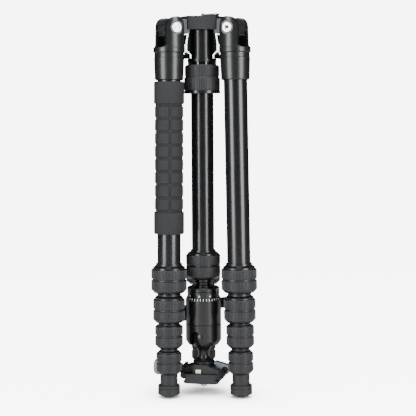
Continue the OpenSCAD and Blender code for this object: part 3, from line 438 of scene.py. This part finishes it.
def disc(
    name: str, place: Place, radius_mm: float, low_mm: float, high_mm: float,
    finish: Finish, around: int = 48, edge_mm: float = 0.1,
) -> bpy.types.Object:
    """Turns a small flat disc with a bevelled upper edge.

    Args:
        name: the disc's name.
        place: its axis.
        radius_mm: its radius.
        low_mm: height of its lower face along the axis.
        high_mm: height of its upper face.
        finish: its material.
        around: points round it, 6 for a hexagon.
        edge_mm: bevel of its upper edge.

    Returns:
        The new object.
    """
    r, inner = radius_mm, radius_mm * 0.02
    profile = np.array([
        (inner, low_mm), (r, low_mm), (r, high_mm - edge_mm), (r - edge_mm, high_mm),
        (inner, high_mm)]) * MM
    return turned(name, place, profile, [finish], around=around, close_rows=False)


def patch(
    name: str, place: Place, radius: tuple[float, float], height: tuple[float, float],
    angle_deg: float, width: float, lift: float, finish: Finish,
) -> bpy.types.Object:
    """Makes a thin raised mark that lies on a turned piece.

    Its four sides follow the cone between two radii and heights, spanning a width in
    metres round an angle, and it stands a little proud of the surface.

    Args:
        name: the mark's name.
        place: the axis.
        radius: radius at the lower and upper end.
        height: height of the lower and upper end.
        angle_deg: middle of the mark round the axis.
        width: its width round the surface.
        lift: how far it stands proud.
        finish: its material.

    Returns:
        The new object.
    """
    middle = math.radians(angle_deg)
    spread = width / sum(radius)
    angle = np.array([-spread, 0, spread, spread, 0, -spread]) + middle
    rise = np.array([lift, lift, lift, -lift, -lift, -lift])
    rows = [
        np.stack([(r + rise) * np.cos(angle), (r + rise) * np.sin(angle), np.full(6, h)], -1)
        for r, h in zip(radius, height)]
    return mesh_piece(name, place.world(np.array(rows)), [finish], close_rows=False)


@dataclass
class RibbedCollar:
    """Locking collar with two ribbed bands, a smooth groove between them and a lip.

    Args:
        node: CAD node that it stands for.
        body: CAD body that it rides on.
        joint: hinge that it twists on, whose point lies at the collar's top.
        radius_mm: radius over the ribs.
        height_mm: length.
        bore_mm: radius of the bore.
        lip_bore_mm: radius of the opening in the lip.
        pitch_mm: distance between ribs.
        groove_share: place of the groove down the collar.
        groove_mm: width of the groove.
        depth_mm: depth of the groove.
        bevel_mm: size of the bevel at the lower end.
        rib_mm: depth of the valleys between ribs.
        lip_mm: length of the lip.
        ease_mm: how far the edges of the bands are eased.
        blend_mm: length over which a band's ribs fade out.
        top_mm: distance of the collar's top below the hinge's point.
    """

    node: str
    body: str
    joint: str
    radius_mm: float
    height_mm: float
    bore_mm: float
    lip_bore_mm: float
    pitch_mm: float = 1.6
    groove_share: float = 0.44
    groove_mm: float = 2.6
    depth_mm: float = 1.1
    bevel_mm: float = 3.3
    rib_mm: float = 0.8
    lip_mm: float = 4.0
    ease_mm: float = 0.3
    blend_mm: float = 0.6
    top_mm: float = 0.0

    def build(self) -> bpy.types.Object:
        """Makes the collar, dresses it and hides the plain one."""
        r, h, g = self.radius_mm, self.height_mm, self.groove_mm / 2
        bevel, eased, blend = self.bevel_mm, self.ease_mm, self.blend_mm
        mid, floor_r, lip_top = h * self.groove_share, r - self.depth_mm, h - self.lip_mm
        # Radius, drop from the top, rib weight and material of each step of the profile
        table = np.array([
            (self.bore_mm, 0.0, 0, 1), (r - 1.2, 0.0, 0, 1), (r - 0.55, 0.2, 0, 1),
            (r - eased, 0.7, 0.2, 0), (r, 1.2, 1, 0), (r, mid - g - blend, 1, 0),
            (r - eased, mid - g, 0.3, 1), (floor_r, mid - g + 0.5, 0, 1),
            (floor_r, mid + g - 0.5, 0, 1), (r - eased, mid + g, 0.3, 0),
            (r, mid + g + blend, 1, 0), (r, h - bevel - blend, 1, 0),
            (r - eased, h - bevel, 0.3, 1), (r - 0.8, h - bevel + blend, 0, 1),
            (r - 2.0, h - 1.5, 0, 1), (r - bevel + 0.2, h - 0.3, 0, 1),
            (r - bevel - 0.3, h, 0, 1), (self.lip_bore_mm, h, 0, 1),
            (self.lip_bore_mm, lip_top, 0, 1), (self.bore_mm, lip_top, 0, 1)])
        profile = np.stack([table[:, 0], -table[:, 1] - self.top_mm], -1) * MM
        ribs = int(round(2 * math.pi * r / self.pitch_mm))
        piece = turned(
            self.node + "_ribbed", Place.on_joint(self.joint), profile,
            [COLLAR_RUBBER, COLLAR_BAND], table[:, 3].astype(int), ribs, self.rib_mm * MM,
            table[:, 2])
        return adopt(piece, self.body, self.node)


@dataclass
class LegLocks:
    """The four locking collars of one leg.

    Args:
        leg: left, right or rear.
        diameters_mm: diameter of each collar, from the top.
        heights_mm: length of each collar.
        tube_mm: diameter of the thickest tube.
        step_mm: drop in diameter from tube to tube.
        neck_mm: wall and clearance between a tube and its collar's bore.
        lip_gap_mm: clearance between the lip and the next tube.
    """

    leg: str
    diameters_mm: tuple[float, ...] = (38.3, 34.3, 30.1, 27.4)
    heights_mm: tuple[float, ...] = (25.5, 25.3, 23.9, 23.1)
    tube_mm: float = 25.0
    step_mm: float = 3.0
    neck_mm: float = 1.7
    lip_gap_mm: float = 0.15

    def build(self) -> list[bpy.types.Object]:
        """Makes the four collars."""
        return [
            RibbedCollar(
                f"{self.leg}_collar_{i + 1}", f"{self.leg}_lock_{i + 1}",
                f"{self.leg}_collar_{i + 1}_twist", diameter / 2, height,
                (self.tube_mm - i * self.step_mm) / 2 + self.neck_mm,
                (self.tube_mm - (i + 1) * self.step_mm) / 2 + self.lip_gap_mm).build()
            for i, (diameter, height) in enumerate(zip(self.diameters_mm, self.heights_mm))]


@dataclass
class FoamGrip:
    """Foam grip with plain ends and eight rows of six pads.

    Args:
        above_mm: distance from the first collar's top up to the grip's upper end.
        length_mm: its length.
        end_mm: length of each plain end.
        end_r_mm: radius of the ends.
        pad_r_mm: radius over the pads.
        low_r_mm: radius in the grooves.
        bore_mm: radius of its bore.
        rows: rows of pads.
        columns: pads in a row.
        turn_deg: turn of the upright grooves.
        groove_mm: width of the grooves.
        azimuth_deg: way across the leg from which the pads are counted.
        edge_mm: width of a pad's rounded edge.
        rib_mm: half width of the low rib in a groove.
        rib_share: height of that rib as a share of a pad's.
        row_points: points along a row of pads.
        column_points: points across a pad.
    """

    above_mm: float = 199.9
    length_mm: float = 162.0
    end_mm: float = 25.0
    end_r_mm: float = 16.15
    pad_r_mm: float = 15.2
    low_r_mm: float = 14.1
    bore_mm: float = 12.55
    rows: int = 8
    columns: int = 6
    turn_deg: float = 6.0
    groove_mm: float = 2.6
    azimuth_deg: float = 210.0
    edge_mm: float = 0.7
    rib_mm: float = 0.5
    rib_share: float = 0.4
    row_points: int = 22
    column_points: int = 26

    def build(self) -> bpy.types.Object:
        """Makes the grip.

        Along and round the grip a pad's height is the smaller of two rounded steps,
        one in each direction, and a low rib runs down the middle of each groove.
        """
        azimuth = math.radians(self.azimuth_deg)
        place = Place.on_joint("left_collar_1_twist", (math.cos(azimuth), math.sin(azimuth), 0))
        first, pads = self.end_mm, self.length_mm - 2 * self.end_mm
        pitch = pads / self.rows
        beyond_rows = 0.12
        along = first + pitch * np.linspace(
            -beyond_rows, self.rows + beyond_rows, self.rows * self.row_points + 7)
        count = self.columns * self.column_points
        angle = np.arange(count) * 2 * np.pi / count
        row_gap = np.abs((along - first + pitch / 2) % pitch - pitch / 2)
        share = 2 * math.pi / self.columns
        column_gap = np.abs(
            (angle - math.radians(self.turn_deg) + share / 2) % share - share / 2) * self.pad_r_mm
        pad = np.minimum(self._step(row_gap)[:, None], self._step(column_gap)[None, :])
        rib = self.rib_share * np.maximum(self._rib(row_gap)[:, None], self._rib(column_gap)[None, :])
        beyond = (along < first - 1.2) | (along > first + pads + 1.2)
        radius = self.low_r_mm + (self.pad_r_mm - self.low_r_mm) * np.maximum(pad, rib)
        radius = np.where(beyond[:, None], self.end_r_mm - 0.7, radius)
        upper = np.array([
            (self.bore_mm, 0.0), (self.end_r_mm - 1.2, 0.0), (self.end_r_mm - 0.4, 0.3),
            (self.end_r_mm, 1.2), (self.end_r_mm, first - 2.6), (self.end_r_mm - 0.3, first - 1.7)])
        lower = upper[::-1] * (1, -1) + (0, self.length_mm)
        around = np.ones(len(angle))
        grid_r = np.concatenate([upper[:, :1] * around, radius, lower[:, :1] * around])
        grid_s = np.concatenate([upper[:, 1], along, lower[:, 1]])[:, None] * around
        local = np.stack([
            grid_r * np.cos(angle), grid_r * np.sin(angle), self.above_mm - grid_s], -1) * MM
        piece = mesh_piece("left_grip_pads", place.world(local), [GRIP_FOAM])
        return adopt(piece, "left_leg", "left_grip")

    def _step(self, gap: np.ndarray) -> np.ndarray:
        """Rises from 0 in the groove to 1 on the pad, smoothly over the pad's edge."""
        t = np.clip((gap - self.groove_mm / 2 + self.edge_mm / 2) / self.edge_mm, 0, 1)
        return t * t * (3 - 2 * t)

    def _rib(self, gap: np.ndarray) -> np.ndarray:
        """Bell in the groove's middle, which falls to 1/e at the rib's half width."""
        return np.exp(-(gap / self.rib_mm) ** 2)


@dataclass
class ColumnLock:
    """Ribbed rings and the collar of the centre column.

    Args:
        rings: name, radius, length and count of ribs of each ring.
        bore_mm: radius of the rings' bore.
        rib_mm: depth of their ribs.
        collar_r_mm: radius of the column's collar.
        collar_h_mm: its length.
        collar_bore_mm: radius of its bore.
        collar_lip_mm: radius of the opening in its lip.
    """

    rings: tuple[tuple[str, float, float, int], ...] = (
        ("upper", 18.6, 12.7, 66), ("lower", 19.4, 14.6, 66))
    bore_mm: float = 13.5
    rib_mm: float = 0.9
    collar_r_mm: float = 18.7
    collar_h_mm: float = 26.6
    collar_bore_mm: float = 13.85
    collar_lip_mm: float = 10.8

    def build(self) -> list[bpy.types.Object]:
        """Makes the two rings and the collar."""
        pieces = []
        for name, r, h, ribs in self.rings:
            low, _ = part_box(f"column_ring_{name}")
            steps = np.array([
                (self.bore_mm, 0, 0), (r - 0.8, 0, 0), (r - 0.2, 0.5, 0.6), (r, 1.0, 1),
                (r, h - 1.9, 1), (r - 0.3, h - 1.3, 0.6), (r - 1.2, h - 0.2, 0),
                (r - 1.5, h, 0), (self.bore_mm, h, 0)])
            x, y, _ = JOINTS[f"column_ring_{name}_twist"]["pos_m"]
            place = Place.along([x, y, low.z], [0, 0, 1], (1, 0, 0))
            piece = turned(
                f"column_ring_{name}_ribbed", place, steps[:, :2] * MM, [COLLAR_RUBBER],
                None, ribs, self.rib_mm * MM, steps[:, 2])
            pieces.append(adopt(piece, f"lock_ring_{name}", f"column_ring_{name}"))
        drop = (JOINTS["column_collar_twist"]["pos_m"][2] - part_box("column_collar")[1].z) / MM
        pieces.append(RibbedCollar(
            "column_collar", "column_lock", "column_collar_twist", self.collar_r_mm,
            self.collar_h_mm, self.collar_bore_mm, self.collar_lip_mm, top_mm=drop).build())
        return pieces


@dataclass
class TensionKnob:
    """Clamp knob with fine straight knurling on its tie rod and ringed spring housing.

    Args:
        radius_mm: radius of the drum.
        out_mm: distance of its outer face from the middle of the clamp.
        length_mm: length of the drum.
        hub_mm: radius of the spring housing.
        rod_mm: radius of the tie rod.
        rod_end_mm: how far the rod runs past the middle of the clamp.
        hub_start_mm: distance of the housing's inner end from the middle.
        hinge_out_mm: distance of the hinge's point from the middle.
        rings: grooves round the housing.
        ring_depth_mm: their depth.
        knurls: knurls round the drum.
        knurl_mm: their depth.
    """

    radius_mm: float = 9.0
    out_mm: float = 55.5
    length_mm: float = 15.0
    hub_mm: float = 4.8
    rod_mm: float = 2.4
    rod_end_mm: float = 18.5
    hub_start_mm: float = 24.2
    hinge_out_mm: float = 45.0
    rings: int = 6
    ring_depth_mm: float = 0.5
    knurls: int = 40
    knurl_mm: float = 0.4

    def build(self) -> bpy.types.Object:
        """Makes the knob round its own hinge, knurled on the drum."""
        start = self.out_mm - self.length_mm
        r, out = self.radius_mm, self.out_mm
        shank = [(0.05, -self.rod_end_mm, 0), (self.rod_mm, -self.rod_end_mm, 0),
                 (self.rod_mm, self.hub_start_mm, 0), (self.hub_mm, self.hub_start_mm, 0)]
        pitch = (start - 3.0 - self.hub_start_mm) / self.rings
        for i in range(self.rings):
            at = self.hub_start_mm + (i + 0.6) * pitch
            floor_r = self.hub_mm - self.ring_depth_mm
            shank += [(self.hub_mm, at, 0), (floor_r, at + 0.2, 0), (floor_r, at + 0.6, 0),
                      (self.hub_mm, at + 0.8, 0)]
        steps = np.array(shank + [
            (self.hub_mm, start - 1.2, 0), (self.hub_mm + 1.2, start, 0), (r - 1.6, start, 0),
            (r - 0.5, start + 0.5, 0.4), (r, start + 1.4, 1), (r, out - 3.0, 1),
            (r - 0.3, out - 2.4, 0.4), (r - 0.7, out - 1.8, 0), (r - 1.4, out - 0.5, 0),
            (r - 2.4, out, 0), (r - 3.4, out - 0.5, 0), (0.05, out - 0.5, 0)])
        profile = np.stack([steps[:, 0], steps[:, 1] - self.hinge_out_mm], -1) * MM
        piece = turned(
            "clamp_knob_knurled", Place.on_joint("clamp_knob_turn", (0, 0, 1)), profile,
            [SILVER_LACQUER], None, self.knurls, self.knurl_mm * MM, steps[:, 2], close_rows=False)
        return adopt(piece, "tension_knob", "clamp_knob")


@dataclass
class HeadScale:
    """White marks of the panning base: dots, an index line and a ring of ticks below.

    Args:
        base_r_mm: radius of the panning base.
        dots: number of dots round the base.
        first_dot_deg: azimuth of the first dot.
        index_deg: azimuth of the index line.
        ticks: number of ticks on the body's bevelled shoulder.
        shoulder_mm: radius of that shoulder at its upper and lower end, and its drop.
        dot_mm: lower and upper end of a dot, and its width.
        index_mm: the same of the index line.
        tick_span: shares of the shoulder's drop between which a tick runs.
        tick_mm: width of a tick.
        dot_lift_mm: how far a dot stands proud.
        lift_mm: how far the index line and the ticks do.
    """

    base_r_mm: float = 17.55
    dots: int = 9
    first_dot_deg: float = 215.0
    index_deg: float = 326.8
    ticks: int = 36
    shoulder_mm: tuple[float, float, float] = (18.04, 19.5, 3.18)
    dot_mm: tuple[float, float, float] = (0.9, 2.7, 1.8)
    index_mm: tuple[float, float, float] = (5.2, 9.6, 0.8)
    tick_span: tuple[float, float] = (0.95, 0.2)
    tick_mm: float = 0.75
    dot_lift_mm: float = 0.06
    lift_mm: float = 0.05

    def build(self) -> list[bpy.types.Object]:
        """Puts the marks on the base and on the body's bevelled shoulder."""
        place = Place.along(JOINTS["head_pan"]["pos_m"], [0, 0, 1], (1, 0, 0))
        pieces = []
        base = (self.base_r_mm * MM,) * 2
        low, high, width = self.dot_mm
        for i in range(self.dots):
            dot = patch(
                f"scale_dot_{i}", place, base, (low * MM, high * MM),
                self.first_dot_deg + i * 360 / self.dots, width * MM, self.dot_lift_mm * MM,
                MARK_PAINT)
            pieces.append(adopt(dot, "column_inner"))
        low, high, width = self.index_mm
        index = patch(
            "scale_index", place, base, (low * MM, high * MM), self.index_deg, width * MM,
            self.lift_mm * MM, MARK_PAINT)
        pieces.append(adopt(index, "column_inner"))
        top_r, low_r, drop = self.shoulder_mm
        span = np.array(self.tick_span)
        radii = tuple((top_r + (low_r - top_r) * span) * MM)
        heights = tuple(-drop * span * MM)
        for i in range(self.ticks):
            tick = patch(
                f"scale_tick_{i}", place, radii, heights, i * 360 / self.ticks,
                self.tick_mm * MM, self.lift_mm * MM, MARK_PAINT)
            pieces.append(adopt(tick, "head"))
        return pieces


@dataclass
class SmallParts:
    """Small fasteners and fittings: painted shade in the bolt sockets, lever pin, vial marks.

    Args:
        bolt_face_mm: distance of a bolt's outer face from the middle of its leg.
        socket_mm: radius of the hexagonal socket, whose shade is painted as a dark hexagon.
        groove_mm: inner and outer radius of the groove round it, whose shade is painted as a dark ring.
        pin_mm: radius of the lever's pin and its distance from the lever's middle.
        sunk_mm: how deep the painted shade of sockets and grooves reaches below the bolt's face.
        proud_mm: how far they stand over it, so that they show.
        line_mm: inner and outer radius of a vial line.
        line_at_mm: distance of the vial lines from its middle.
        line_half_mm: half their width.
    """

    bolt_face_mm: float = 14.7
    socket_mm: float = 2.0
    groove_mm: tuple[float, float] = (3.5, 4.3)
    pin_mm: tuple[float, float] = (3.45, 3.85)
    sunk_mm: float = 0.2
    proud_mm: float = 0.03
    line_mm: tuple[float, float] = (2.1, 2.23)
    line_at_mm: float = 0.9
    line_half_mm: float = 0.15

    def build(self) -> list[bpy.types.Object]:
        """Makes them all."""
        return self._bolt_sockets() + self._lever_pin() + self._vial()

    def _bolt_sockets(self) -> list[bpy.types.Object]:
        """Painted shade of the hexagonal socket and of the groove round it, at both ends of each pivot
        bolt: a flat dark hexagon and ring, with the bright bolt face as a rim between them.
        """
        pieces = []
        for leg in LEGS:
            joint = JOINTS[f"{leg}_leg_swing"]
            for side in (-1, 1):
                axis = [side * part for part in joint["axis"]]
                place = Place.along(joint["pos_m"], axis, (0, 0, 1))
                name = f"{leg}_bolt_{'outer' if side > 0 else 'inner'}"
                low = self.bolt_face_mm - self.sunk_mm
                high = self.bolt_face_mm + self.proud_mm
                # The socket and groove are not cut: a dark hexagon and a dark ring on the bolt's face paint
                # their shade
                socket = disc(
                    name + "_socket", place, self.socket_mm, low, high, BLACK_OXIDE_AND_SHADE, around=6,
                    edge_mm=0.02)
                inner, outer = self.groove_mm
                band = np.array([(inner, low), (outer, low), (outer, high), (inner, high)]) * MM
                groove = turned(name + "_groove", place, band, [BLACK_OXIDE_AND_SHADE], around=48)
                pieces += [adopt(socket, "spider"), adopt(groove, "spider")]
        return pieces

    def _lever_pin(self) -> list[bpy.types.Object]:
        """Dark pin heads in the lever's two sides."""
        joint = JOINTS["clamp_lever_open"]
        radius, face = self.pin_mm
        pieces = []
        for side in (-1, 1):
            axis = [side * part for part in joint["axis"]]
            place = Place.along(joint["pos_m"], axis, (0, 0, 1))
            pin = disc(
                f"lever_pin_{'rear' if side > 0 else 'front'}", place, radius, face - 0.3, face,
                BLACK_OXIDE_AND_SHADE, edge_mm=0.15)
            pieces.append(adopt(pin, "lever"))
        return pieces

    def _vial(self) -> list[bpy.types.Object]:
        """Two black lines round the vial."""
        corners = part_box("bubble_level")
        along = JOINTS["clamp_knob_turn"]["axis"]
        place = Place.along(list((corners[0] + corners[1]) / 2), along, (0, 0, 1))
        pieces = []
        inner, outer = self.line_mm
        for i, at in enumerate((-self.line_at_mm, self.line_at_mm)):
            low, high = at - self.line_half_mm, at + self.line_half_mm
            ring = np.array([(inner, low), (outer, low), (outer, high), (inner, high)])
            line = turned(f"vial_line_{i}", place, ring * MM, [BLACK_OXIDE_AND_SHADE], around=40)
            pieces.append(adopt(line, "clamp"))
        return pieces


@dataclass
class CadDressing:
    """Finishes of the CAD nodes that show as they are.

    Args:
        finishes: finish of a node by its name, or by the kind of leg piece.
        sleeve_mm: radius within which the spider is its turned sleeve.
        hub_mm: height of the hub block above that sleeve.
        nose_mm: radius of the sleeve's polished nose and its drop from the hub's top.
        edge_cosine: how squarely a face lies across the hinge to be a sheared edge, which gets the painted
            highlight.
    """

    finishes: dict[str, Finish] = field(default_factory=lambda: {
        "spider": HUB_COAT, "pivot_bolts": PLATED_STEEL, "column_ring_upper": COLLAR_RUBBER,
        "column_ring_lower": COLLAR_RUBBER, "column_tube_outer": ANODISED_TUBE,
        "column_end_cap": COATED_CASTING, "bag_hook": ZINC_STEEL, "column_collar": COLLAR_RUBBER,
        "column_tube_inner": ANODISED_TUBE, "head_mount": ANODISED_HEAD, "pan_base": ANODISED_HEAD,
        "head_body": ANODISED_HEAD, "ball_lock_knob": COLLAR_RUBBER,
        "pan_lock_knob": COLLAR_RUBBER, "ball_stem": ANODISED_HEAD, "clamp_base": BLASTED_CLAMP,
        "clamp_jaw": BLASTED_CLAMP, "clamp_knob": SILVER_LACQUER, "clamp_lever": SILVER_LACQUER,
        "bubble_level": VIAL_ACRYLIC, "release_plate": BLASTED_CLAMP, "plate_pad": PAD_RUBBER,
        "camera_screw": PLATED_STEEL, "shoulder": COATED_CASTING, "angle_tab": BLACK_OXIDE_AND_SHADE,
        "tube": ANODISED_TUBE, "collar": COLLAR_RUBBER, "foot": FOOT_RUBBER, "grip": GRIP_FOAM})
    sleeve_mm: float = 19.9
    hub_mm: float = 15.1
    nose_mm: tuple[float, float] = (13.6, 48.0)
    edge_cosine: float = 0.9

    def build(self) -> None:
        """Gives each CAD node its finish, by its own name or by its kind of leg piece."""
        for name, node in frame["nodes"].items():
            words = name.split("_")
            kind = "_".join(word for word in words[1:] if not word.isdigit())
            finish = self.finishes.get(name) or self.finishes[kind]
            node.data.materials.clear()
            node.data.materials.append(finish.material())
            log.info("%s is %s", name, finish.name)
        self._polish_sleeve(frame["nodes"]["spider"])
        # Each tab's sheared edges get a painted highlight
        for leg in LEGS:
            self._highlight_edges(frame["nodes"][f"{leg}_angle_tab"], f"{leg}_leg_swing")

    def _polish_sleeve(self, spider: bpy.types.Object) -> None:
        """Gives the turned sleeve below the hub the gloss of the head, and its nose more.

        A face of the spider belongs to the sleeve when its centre lies nearer to the
        column's axis than the sleeve's widest flange and lower than the hub block. It
        belongs to the nose when it lies lower still and within the nose's radius.
        """
        centres, _ = self._faces(spider)
        x, y, _ = JOINTS["head_pan"]["pos_m"]
        away = np.hypot(centres[:, 0] - x, centres[:, 1] - y)
        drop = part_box("spider")[1].z - centres[:, 2]
        nose_r, nose_drop = (size * MM for size in self.nose_mm)
        sleeve = (away < self.sleeve_mm * MM) & (drop > self.hub_mm * MM)
        nose = sleeve & (away < nose_r) & (drop > nose_drop)
        self._second_finish(spider, sleeve, ANODISED_HEAD)
        self._second_finish(spider, nose, POLISHED_NOSE)

    def _highlight_edges(self, tab: bpy.types.Object, hinge: str) -> None:
        """Paints a highlight on the sheared edges of a blackened tab: the faces across its hinge get bright
        steel.
        """
        _, normals = self._faces(tab)
        axis = np.array(JOINTS[hinge]["axis"])
        self._second_finish(tab, np.abs(normals @ axis) > self.edge_cosine, TAB_EDGE_HIGHLIGHT)

    def _faces(self, node: bpy.types.Object) -> tuple[np.ndarray, np.ndarray]:
        """Centres and normals of a node's faces, in the row frame."""
        polygons, turn = node.data.polygons, np.array(node.matrix_world)
        centres, normals = np.empty(len(polygons) * 3), np.empty(len(polygons) * 3)
        polygons.foreach_get("center", centres)
        polygons.foreach_get("normal", normals)
        return (centres.reshape(-1, 3) @ turn[:3, :3].T + turn[:3, 3],
                normals.reshape(-1, 3) @ turn[:3, :3].T)

    def _second_finish(self, node: bpy.types.Object, chosen: np.ndarray, finish: Finish) -> None:
        """Gives the chosen faces of a node a further finish."""
        slots = np.empty(len(node.data.polygons), np.int32)
        node.data.polygons.foreach_get("material_index", slots)
        node.data.materials.append(finish.material())
        slots[chosen] = len(node.data.materials) - 1
        node.data.polygons.foreach_set("material_index", slots)


@dataclass(frozen=True)
class Softbox:
    """One rectangular area light that looks at the tripod.

    Args:
        name: its name.
        azimuth_deg: direction in which it stands.
        far: level distance from the frame's origin.
        up: height.
        size: width and height.
        power: in watts.
    """

    name: str
    azimuth_deg: float
    far: float
    up: float
    size: tuple[float, float]
    power: float


@dataclass
class Studio:
    """Camera, lights and floor.

    Args:
        distance: from the camera to the column's axis, level.
        height: of the camera over the floor.
        tilt_deg: how far it looks down.
        roll_deg: how far it leans to its right.
        focal_px: focal length in pixels of a 416 pixel frame.
        column_px: where the column's axis stands in that frame.
        frame_px: width of the frame.
        floor_size: half the width of the floor.
        floor_glow: light that the floor shows to the camera.
        surround: brightness of the backdrop to the camera.
        ambient: brightness of the dark room that everything else sees.
        sensor_mm: width of the camera's sensor.
        contact: how far the painted contact shadow round the feet reaches.
        aim_up: height that the lights look at.
        softboxes: the lights.
    """

    distance: float = 1.2
    height: float = 0.3031
    tilt_deg: float = 4.75
    roll_deg: float = 0.34
    focal_px: float = 1106.0
    column_px: float = 202.3
    frame_px: float = 416.0
    floor_size: float = 0.9
    floor_glow: float = 6.8
    surround: float = 7.0
    ambient: float = 0.05
    sensor_mm: float = 36.0
    contact: float = 0.05
    aim_up: float = 0.2
    softboxes: tuple[Softbox, ...] = (
        Softbox("softbox_left", 223, 1.5, 0.4, (0.7, 1.6), 40.0),
        Softbox("softbox_right", 317, 1.5, 0.4, (0.7, 1.6), 40.0),
        Softbox("softbox_top", 270, 0.7, 1.7, (1.2, 0.8), 14.0))

    def build(self) -> None:
        """Sets up the whole studio."""
        self._camera()
        self._floor()
        self._lights()
        self._world()

    def _camera(self) -> None:
        """Looks at the column from the front, slightly from above."""
        data = bpy.data.cameras.new("camera")
        data.sensor_width = self.sensor_mm
        data.lens = self.focal_px / self.frame_px * self.sensor_mm
        data.shift_x = (self.frame_px / 2 - self.column_px) / self.frame_px
        data.clip_start, data.clip_end = 0.01, 50
        camera = bpy.data.objects.new("camera", data)
        x, y, _ = JOINTS["head_pan"]["pos_m"]
        camera.location = (x, y - self.distance, self.height)
        camera.rotation_euler = (
            math.radians(90 - self.tilt_deg), math.radians(self.roll_deg), 0)
        bpy.context.scene.collection.objects.link(camera)
        bpy.context.scene.camera = camera

    def _floor(self) -> None:
        """Lays a white paper floor that glows to the camera, with a painted contact shadow round the feet.
        """
        size = self.floor_size
        mesh = bpy.data.meshes.new("floor")
        mesh.from_pydata(
            [(-size, -size, 0), (size, -size, 0), (size, size, 0), (-size, size, 0)], [],
            [(0, 1, 2, 3)])
        floor = bpy.data.objects.new("floor", mesh)
        material = bpy.data.materials.new("matte white paper")
        material.use_nodes = True
        tree = material.node_tree
        tree.nodes.clear()
        paper = add_node(
            tree, "ShaderNodeBsdfPrincipled",
            {"Base Color": linear("#f2f2f2"), "Roughness": 0.9, "Specular IOR Level": 0.1})
        # Painted contact shadow: ambient occlusion dims the floor's glow round the feet
        contact = add_node(tree, "ShaderNodeAmbientOcclusion", {"Distance": self.contact}, samples=8)
        glow = add_node(
            tree, "ShaderNodeMapRange",
            {"Value": contact.outputs["AO"], "From Min": 0.25, "From Max": 0.95, "To Min": 0.1,
             "To Max": self.floor_glow})
        shine = add_node(
            tree, "ShaderNodeEmission",
            {"Color": (1, 1, 1, 1), "Strength": glow.outputs["Result"]})
        both = add_node(tree, "ShaderNodeAddShader", {0: paper.outputs[0], 1: shine.outputs[0]})
        ray = add_node(tree, "ShaderNodeLightPath")
        mix = add_node(
            tree, "ShaderNodeMixShader",
            {0: ray.outputs["Is Camera Ray"], 1: paper.outputs[0], 2: both.outputs[0]})
        add_node(tree, "ShaderNodeOutputMaterial", {"Surface": mix.outputs[0]})
        mesh.materials.append(material)
        bpy.context.scene.collection.objects.link(floor)

    def _lights(self) -> None:
        """Two tall softboxes in front and one above."""
        aim = Vector((0, 0, self.aim_up))
        for box in self.softboxes:
            data = bpy.data.lights.new(box.name, "AREA")
            data.shape, data.energy = "RECTANGLE", box.power
            data.size, data.size_y = box.size
            light = bpy.data.objects.new(box.name, data)
            azimuth = math.radians(box.azimuth_deg)
            light.location = (box.far * math.cos(azimuth), box.far * math.sin(azimuth), box.up)
            light.rotation_euler = (aim - light.location).to_track_quat("-Z", "Y").to_euler()
            bpy.context.scene.collection.objects.link(light)

    def _world(self) -> None:
        """A white backdrop to the camera and a dark room to every other ray."""
        world = bpy.data.worlds.new("white backdrop")
        world.use_nodes = True
        tree = world.node_tree
        tree.nodes.clear()
        room = add_node(
            tree, "ShaderNodeBackground", {"Color": (1, 1, 1, 1), "Strength": self.ambient})
        white = add_node(
            tree, "ShaderNodeBackground", {"Color": (1, 1, 1, 1), "Strength": self.surround})
        ray = add_node(tree, "ShaderNodeLightPath")
        mix = add_node(
            tree, "ShaderNodeMixShader",
            {0: ray.outputs["Is Camera Ray"], 1: room.outputs[0], 2: white.outputs[0]})
        add_node(tree, "ShaderNodeOutputWorld", {"Surface": mix.outputs[0]})
        bpy.context.scene.world = world


def main() -> None:
    """Builds the tripod's looks in order."""
    logging.basicConfig(level=logging.INFO, format="%(message)s")
    Studio().build()
    CadDressing().build()
    for leg in LEGS:
        LegLocks(leg).build()
    FoamGrip().build()
    ColumnLock().build()
    TensionKnob().build()
    HeadScale().build()
    SmallParts().build()


if __name__ == "__main__":
    main()
